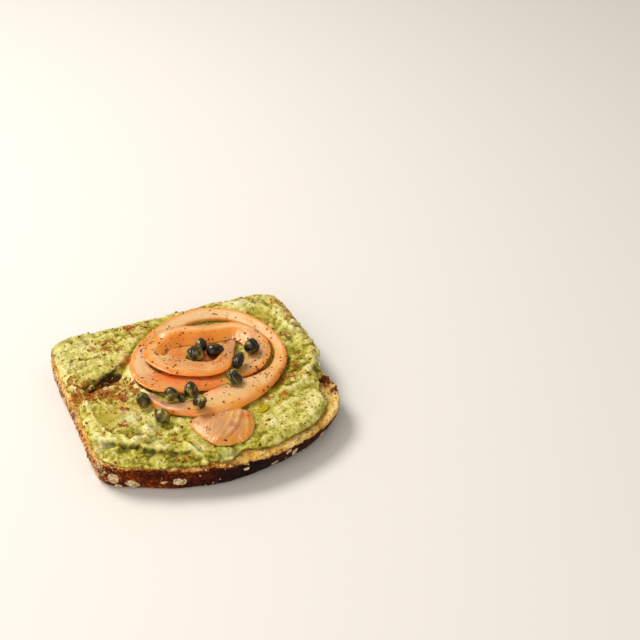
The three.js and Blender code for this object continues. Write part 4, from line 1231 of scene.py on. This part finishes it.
def makeCaper(number, bud, material):
    x, y, z, diameter, length, heading, pitch = bud
    random = np.random.default_rng(70 + number)
    end = 0.02
    angle = np.linspace(end, np.pi - end, capers["rings"])[:, None]
    around = np.linspace(0, 2 * np.pi, capers["sides"], endpoint=False)[None]
    share = (1 - np.cos(angle)) / 2  # 0 at the stem, 1 at the point
    belly = np.sin(angle) ** 0.8 * (1 + 0.16 * np.cos(angle)) - 0.1 * np.exp(-(((share - 0.9) / 0.1) ** 2))
    radius = 0.5 * diameter * belly * np.ones_like(around)
    spots = np.column_stack([(np.cos(around) * radius).ravel(), (np.sin(around) * radius).ravel(),
                             (share * length * np.ones_like(around)).ravel()])
    wobble = latticeNoise(spots, 2.6, 72 + number).reshape(radius.shape)
    swirl = around + 0.5 * (share - 0.5) + 0.12 * wobble
    # two outer sepals wrap two inner ones, and narrow to the point
    fold = np.abs((swirl % np.pi) - np.pi / 2)
    half = 1.45 * (1 - share**2.4)
    sepal = smoothStep(-0.08, 0.05, half - fold)
    seam = np.exp(-(((half - fold + 0.05) / 0.09) ** 2))
    rib = np.maximum(np.sin(capers["ribs"] * swirl + 2 * wobble), -0.3) * np.sin(angle) ** 0.6
    rib = rib * np.clip(0.6 + 0.7 * latticeNoise(spots, 1.6, 90 + number).reshape(radius.shape), 0, 1.2)
    radius = radius * (0.92 + 0.09 * sepal - 0.05 * seam) + 0.09 * rib + 0.14 * wobble * np.sin(angle)
    along = -0.5 * length * np.cos(angle) * np.ones_like(around)
    local = np.stack([np.cos(around) * radius, np.sin(around) * radius, along], 2).reshape(-1, 3)
    level = math.radians(pitch)
    turn = math.radians(heading)
    pointing = Vector((math.cos(level) * math.cos(turn), math.cos(level) * math.sin(turn), math.sin(level)))
    facing = pointing.to_track_quat("Z", "Y").to_matrix() @ Matrix.Rotation(random.uniform(0, 6.3), 3, "Z")
    placed = local @ np.array(facing).T + (x, y, z)
    tone = -0.3 if number in capers["dark"] else random.uniform(-0.14, 0.02)
    tone = tone + 0.2 * smoothStep(0.8, 1, share) - 0.35 * seam + 0.12 * sepal * (fold < 0.5)
    values = {"tone": ringValues(tone + 0.33 * rib + 0.3 * wobble)}
    points, faces = ringSolid(placed.reshape(*radius.shape, 3))
    piece = meshPiece(f"caper{number:02d}", points, faces, material, values)
    settle(piece, "caper", f"caper_{number:02d}")
    return piece


caperSkin = caperMaterial()
caperPieces = [makeCaper(k + 1, bud, caperSkin) for k, bud in enumerate(capers["buds"])]
print("capers:", len(caperPieces))


# what is strewn on the slice: oat flakes, bran, chili, pepper and crumbs

strewn = {
    # oat flakes on the crust: x, y, height, length, width, turn in degrees
    "oats": [
        (-59.7, -26.1, 3.2, 6, 4.6, 80), (-55.1, -35.8, 6.6, 6.4, 5, 70), (-48.1, -39.1, 3.6, 6.6, 4.2, -25),
        (-28.8, -48.6, 6.2, 6.4, 4, -4), (-59.6, -31, 12, 3.6, 1.7, 100), (-35.6, -45.5, 5.4, 3.4, 1.2, 10),
        (-53.6, -37, 1.8, 3.4, 1.8, 0), (-0.4, -55.9, 9.6, 2.8, 1.5, 10), (14, -53.6, 5.6, 3.4, 1.4, 20),
        (20.4, -54.5, 11, 3.2, 1.8, 30), (24, -52.1, 8, 3.8, 1.8, 50), (40.5, -46, 6.4, 5, 1.6, 60),
        (-15, -54, 3, 2.2, 1.4, 0), (-61, 44, 7.8, 6, 2.8, 15), (-61, 24, 5, 7, 2.6, 5),
        (-61, 4, 4.2, 4.4, 2.2, -20), (-61, -12, 7.6, 5, 2.4, 10), (-61, 33, 3, 3, 2, 60),
    ],
    "oatThickness": 0.7,
    # share of the flake's reach and of its thickness, from its back to the middle of its face
    "oatProfile": [(0.9, -0.5), (1, -0.1), (0.97, 0.3), (0.86, 0.5), (0.6, 0.5), (0.35, 0.5), (0.15, 0.5)],
    # what the scatter strews: most per square metre, closest spacing and size range in mm, and seed
    "chili": {
        "density": 460000, "spacing": 1, "small": (0.8, 0.6, 0.4), "large": (2.9, 2.1, 0.9), "seed": 3},
    "chiliOnSalmon": {
        "density": 300000, "spacing": 1.2, "small": (0.6, 0.4, 0.3), "large": (2.2, 1.5, 0.5), "seed": 21},
    "dust": {
        "density": 1500000, "spacing": 0.5, "small": (0.35, 0.3, 0.3), "large": (1, 0.8, 0.6), "seed": 7},
    "pepper": {
        "density": 360000, "spacing": 0.7, "small": (0.3, 0.22, 0.15), "large": (1.1, 0.8, 0.3), "seed": 12},
    "peppercorn": {
        "density": 60000, "spacing": 3, "small": (0.7, 0.6, 0.4), "large": (1.3, 1.1, 0.6), "seed": 15},
    "bran": {
        "density": 900000, "spacing": 0.8, "small": (0.5, 0.4, 0.3), "large": (2, 1.3, 0.8), "seed": 17},
    "crumbs": {
        "density": 900000, "spacing": 0.7, "small": (0.5, 0.45, 0.4), "large": (1.7, 1.4, 1), "seed": 37},
    "curds": {
        "density": 500000, "spacing": 1, "small": (0.6, 0.5, 0.4), "large": (2, 1.6, 1.3), "seed": 27},
    # name, darkest and lightest colour, roughness, and size in mm of the blobs that its tone varies in
    "finishes": {
        "oat": ("toasted rolled oat", "#9c7442", "#f0dfba", 0.8, 1.5),  # pale, dull and floury
        "chili": ("crushed dried chili", "#5a2408", "#cc7a26", 0.75, 1.6),  # rust brown skin
        "redChili": ("dark dried chili", "#6a1604", "#c24c1a", 0.75, 1.6),  # deep red skin
        "dust": ("ground chili", "#7a2f08", "#c06a1e", 0.8, 2),  # orange brown powder
        "chiliSkin": ("ground chili skin", "#742208", "#d4702a", 0.7, 1.5),  # small red specks
        "pepper": ("cracked black pepper", "#1c120a", "#4a2e1a", 0.7, 1.5),  # dark brown grains
        "husk": ("charred seed husk", "#22100c", "#7c3c1c", 0.55, 1.2),  # near black, with a slight shine
        "bran": ("toasted bran", "#5d300c", "#ebc88f", 0.8, 2),  # dull brown to straw flecks
        "crumb": ("toasted crumb", "#a4661f", "#f3d397", 0.8, 2),  # dry golden crumbs
    },
}

oil = {
    "centre": (17.5, -29.3, 17.3),
    "reach": (3.4, 2.6),
    "profile": [(0.2, -0.4), (0.95, -0.4), (1, -0.2), (0.93, -0.05), (0.7, 0.08), (0.3, 0.14)],
    "sides": 48,
    "colour": "#f2de00",
}


def plainMaterial(name, hexLow, hexHigh, roughness, grain):  # a dry finish of uneven tone
    material, tree, output = newMaterial(name)
    place = addNode(tree, "ShaderNodeTexCoord").outputs["Object"]
    noise = addNode(tree, "ShaderNodeTexNoise", None,
                    {"Vector": place, "Scale": 1000 / grain, "Detail": 3, "Roughness": 0.6})
    colour = addNode(tree, "ShaderNodeValToRGB", None, {"Fac": noise.outputs["Fac"]},
                     [(0.35, hexLow), (0.65, hexHigh)]).outputs["Color"]
    shader = addNode(tree, "ShaderNodeBsdfPrincipled", None, {
        "Base Color": colour, "Roughness": roughness, "IOR": 1.45, "Specular IOR Level": 0.25})
    tree.links.new(shader.outputs[0], output.inputs["Surface"])
    return material


def chipShape(name, seed):  # one small irregular chip, a unit across, that the scatter repeats
    random = np.random.default_rng(seed)
    around = np.linspace(0, 2 * np.pi, 6, endpoint=False)
    size = 0.5 * random.uniform(0.65, 1.05, 6)
    rings = [np.column_stack([np.cos(around) * size * w, np.sin(around) * size * w, np.full(6, h)])
             for w, h in ((0.75, -0.5), (1, -0.05), (0.7, 0.5))]
    points, faces = ringSolid(np.array(rings) / mm)
    piece = meshPiece(name, points, faces, None)
    piece.data.materials.clear()
    return piece


def scatterTree(name):  # strews a chip over the upward or outward faces of a surface
    tree = bpy.data.node_groups.new(name, "GeometryNodeTree")
    kinds = {
        "Surface": "Object", "Chip": "Object", "Material": "Material", "Where": "String", "Density": "Float",
        "Spacing": "Float", "Smallest": "Vector", "Largest": "Vector", "Seed": "Int"}
    for label, kind in kinds.items():
        tree.interface.new_socket(label, in_out="INPUT", socket_type="NodeSocket" + kind)
    tree.interface.new_socket("Geometry", in_out="OUTPUT", socket_type="NodeSocketGeometry")
    given = addNode(tree, "NodeGroupInput").outputs
    surface = addNode(tree, "GeometryNodeObjectInfo", None, {"Object": given["Surface"]})
    chip = addNode(tree, "GeometryNodeObjectInfo", None, {"Object": given["Chip"], "As Instance": True})
    where = addNode(tree, "GeometryNodeInputNamedAttribute", {"data_type": "FLOAT"}, {"Name": given["Where"]})
    spots = addNode(tree, "GeometryNodeDistributePointsOnFaces", {"distribute_method": "POISSON"}, {
        "Mesh": surface.outputs["Geometry"], "Distance Min": given["Spacing"],
        "Density Max": given["Density"], "Density Factor": where.outputs["Attribute"],
        "Seed": given["Seed"]})
    spin = addNode(tree, "FunctionNodeRandomValue", {"data_type": "FLOAT_VECTOR"}, {
        0: (-0.25, -0.25, -3.14), 1: (0.25, 0.25, 3.14), "Seed": given["Seed"]})
    turned = addNode(tree, "FunctionNodeRotateRotation", {"rotation_space": "LOCAL"}, {
        "Rotation": spots.outputs["Rotation"], "Rotate By": spin.outputs[0]})
    size = addNode(tree, "FunctionNodeRandomValue", {"data_type": "FLOAT_VECTOR"}, {
        0: given["Smallest"], 1: given["Largest"], "Seed": given["Seed"]})
    placed = addNode(tree, "GeometryNodeInstanceOnPoints", None, {
        "Points": spots.outputs["Points"], "Instance": chip.outputs["Geometry"],
        "Rotation": turned.outputs[0], "Scale": size.outputs[0]})
    real = addNode(tree, "GeometryNodeRealizeInstances", None, {"Geometry": placed.outputs[0]})
    coated = addNode(tree, "GeometryNodeSetMaterial", None, {
        "Geometry": real.outputs[0], "Material": given["Material"]})
    addNode(tree, "NodeGroupOutput", None, {"Geometry": coated.outputs[0]})
    return tree


def strew(name, surface, where, how, chip, material, slot):
    holder = bpy.data.objects.new(name, bpy.data.meshes.new(name))
    bpy.context.scene.collection.objects.link(holder)
    modifier = holder.modifiers.new("strew", "NODES")
    modifier.node_group = scatter
    given = {
        "Surface": surface, "Chip": chip, "Material": material, "Where": where,
        "Density": how["density"], "Spacing": how["spacing"] * mm, "Seed": how["seed"],
        "Smallest": [side * mm for side in how["small"]], "Largest": [side * mm for side in how["large"]],
    }
    for socket in scatter.interface.items_tree:
        if socket.in_out == "INPUT":
            modifier[socket.identifier] = given[socket.name]
    bpy.context.view_layer.update()
    ready = holder.evaluated_get(bpy.context.evaluated_depsgraph_get())
    holder.data = bpy.data.meshes.new_from_object(ready)
    holder.modifiers.clear()
    holder.data.name = name
    settle(holder, slot)


def flakeMesh(place, outward, length, width, turn, seed):  # a rolled oat: thin, ragged and creased
    sides = 40
    around = np.linspace(0, 2 * np.pi, sides, endpoint=False)
    circle = np.column_stack([np.cos(around), np.sin(around)])
    ragged = 1 + 0.16 * latticeNoise(circle, 0.7, seed) + 0.07 * latticeNoise(circle, 0.25, seed + 50)
    thick = strewn["oatThickness"]
    rings = []
    for reach, level in strewn["oatProfile"]:
        u = 0.5 * width * reach * np.cos(around) * ragged
        v = 0.5 * length * reach * np.sin(around) * ragged
        crease = 0.4 * np.exp(-((u / (0.12 * width)) ** 2)) * (level > 0)
        rough = 0.35 * latticeNoise(np.column_stack([u, v]), 0.8, seed + 1) * (level > 0)
        rings.append(np.column_stack([u, v, thick * (level + rough - crease + 0.1)]))
    points, faces = ringSolid(np.array(rings))
    out = Vector(outward)
    along = out.cross(Vector((0, 0, 1)))
    facing = Matrix((Vector((0, 0, 1)), along, out)).transposed()
    facing = facing @ Matrix.Rotation(math.radians(turn), 3, "Z")
    if facing.determinant() < 0:
        faces = [tuple(reversed(face)) for face in faces]
    return points @ np.array(facing).T + place, faces


def makeOats(material):
    points, faces = [], []
    for seed, (x, y, z, length, width, turn) in enumerate(strewn["oats"]):
        edge = sliceEdge(z, 0, 720)
        nearest = np.argmin(np.hypot(edge[:, 0] - x, edge[:, 1] - y))
        outward = (*-inwardNormals(edge)[nearest], 0)
        some, more = flakeMesh((*edge[nearest], z), outward, length, width, turn, 100 + seed)
        first = sum(len(part) for part in points)
        points.append(some)
        faces += [tuple(first + corner for corner in face) for face in more]
    piece = meshPiece("oatFlakes", np.vstack(points), faces, material)
    settle(piece, "bread")


def makeOil():  # a drop of olive oil in a hollow of the mash: clear, yellow and bright
    material, tree, output = newMaterial("olive oil")
    shader = addNode(tree, "ShaderNodeBsdfPrincipled", None, {
        "Base Color": linear(oil["colour"]), "Roughness": 0.06, "IOR": 1.47, "Transmission Weight": 0.55})
    tree.links.new(shader.outputs[0], output.inputs["Surface"])
    x, y, z = oil["centre"]
    width, depth = oil["reach"]
    around = np.linspace(0, 2 * np.pi, oil["sides"], endpoint=False)
    ragged = 1 + 0.12 * latticeNoise(np.column_stack([np.cos(around), np.sin(around)]), 0.7, 5)
    rings = []
    for reach, level in oil["profile"]:
        rings.append(np.column_stack([x + width * reach * np.cos(around) * ragged,
                                      y + depth * reach * np.sin(around) * ragged,
                                      np.full(oil["sides"], z + level)]))
    points, faces = ringSolid(np.array(rings))
    piece = meshPiece("oilDrop", points, faces, material)
    settle(piece, "avocado")


def addValue(piece, label, values):
    piece.data.attributes.new(label, "FLOAT", "POINT").data.foreach_set("value", values.astype(np.float32))


def pieceShape(piece):  # points in mm and their normals
    count = len(piece.data.vertices)
    points = np.empty(3 * count, np.float32)
    normals = np.empty(3 * count, np.float32)
    piece.data.vertices.foreach_get("co", points)
    piece.data.vertex_normals.foreach_get("vector", normals)
    return points.reshape(-1, 3).astype(float) / mm, normals.reshape(-1, 3)


def strewMash():  # seasoning on the mash, less of it under the salmon
    points, normals = pieceShape(avocadoPiece)
    x, y = points[:, 0], points[:, 1]
    spice = patchStrength(x, y, avocado["spicePatches"])
    free = (1 - pressedShare(x, y) * 0.6) * (normals[:, 2] > 0.3)
    addValue(avocadoPiece, "chiliWhere", (0.05 + 1.0 * spice**1.3) * free)
    addValue(avocadoPiece, "dustWhere", (0.1 + 0.8 * spice**1.2) * free)
    addValue(avocadoPiece, "pepperWhere", 0.25 * free)
    for name, where, how, look in (("peppercorns", "pepperWhere", "peppercorn", "pepper"),
                                   ("chiliFlakes", "chiliWhere", "chili", "chili"),
                                   ("chiliDust", "dustWhere", "dust", "dust")):
        strew(name, avocadoPiece, where, strewn[how], chip, finish[look], "avocado")


def strewSalmon(piece, label):  # specks and flakes of chili on one piece of salmon
    points, normals = pieceShape(piece)
    patches = patchStrength(points[:, 0], points[:, 1], salmon["pepperPatches"])
    facing = normals[:, 2] > 0.35
    addValue(piece, "pepperWhere", (0.07 + 0.8 * patches) * facing)
    addValue(piece, "chiliWhere", (0.12 + 1.0 * patches) * facing)
    strew("pepper" + label, piece, "pepperWhere", strewn["pepper"], chip, finish["chiliSkin"], "salmon")
    strew("chili" + label, piece, "chiliWhere", strewn["chiliOnSalmon"], chip, finish["redChili"], "salmon")


def strewBread():  # husks, crumbs and bran on the crust, and curds of mash along the rim
    points, normals = pieceShape(breadPiece)
    x, y, z = points.T
    side = (z > 1) & (z < 13.9) & (np.abs(normals[:, 2]) < 0.85)
    upward = normals[:, 2] > 0.4
    left = smoothStep(-52, -60, x) * smoothStep(-44, -30, y)
    patchy = np.clip(0.5 + 1.2 * latticeNoise(points, 6, 19), 0, 1)
    rim = smoothStep(12, 13.6, z) * (z < 14.6)
    chunk = patchStrength(x, y, bread["chunk"])
    fromSpread = np.full(len(points), np.inf)
    for bx, by in smoothLoop(avocado["outline"], 300):
        fromSpread = np.minimum(fromSpread, np.hypot(x - bx, y - by))
    steep = patchStrength(x, y, avocado["steepEdge"])
    where = {
        "branWhere": (0.03 + 0.6 * left * patchy + 0.2 * rim * patchy) * side + 0.3 * rim * chunk,
        "crumbWhere": ((0.3 * patchy * rim + 0.6 * left * smoothStep(6, 11, z)) * side
                       + 0.6 * patchy * rim * upward),
        "huskWhere": 0.9 * chunk * (normals[:, 2] > 0.2),
        "curdWhere": 0.5 * rim * smoothStep(2.2, 0.4, fromSpread) * patchy * upward * (1 - 0.9 * steep),
    }
    for label, values in where.items():
        addValue(breadPiece, label, values)
    mash = avocadoPiece.data.materials[0]
    for name, label, how, look, slot in (("seedHusks", "huskWhere", "bran", finish["husk"], "bread"),
                                         ("crumbs", "crumbWhere", "crumbs", finish["crumb"], "bread"),
                                         ("branFlecks", "branWhere", "bran", finish["bran"], "bread"),
                                         ("mashCurds", "curdWhere", "curds", mash, "avocado")):
        strew(name, breadPiece, label, strewn[how], chip, look, slot)


finish = {label: plainMaterial(*row) for label, row in strewn["finishes"].items()}
makeOats(finish["oat"])
makeOil()
scatter = scatterTree("strew chips")
chip = chipShape("chip", 4)
strewMash()
for salmonPiece, label in (
        (outerPiece, "Outer"), (innerPiece, "Inner"), (floorPiece, "Floor"), (tailPiece, "Tail")):
    strewSalmon(salmonPiece, label)
strewBread()
bpy.data.objects.remove(chip)
print("oats, oil, bran, husks, crumbs, curds, chili and pepper")

for material in bpy.data.materials:
    if not material.users:
        bpy.data.materials.remove(material)
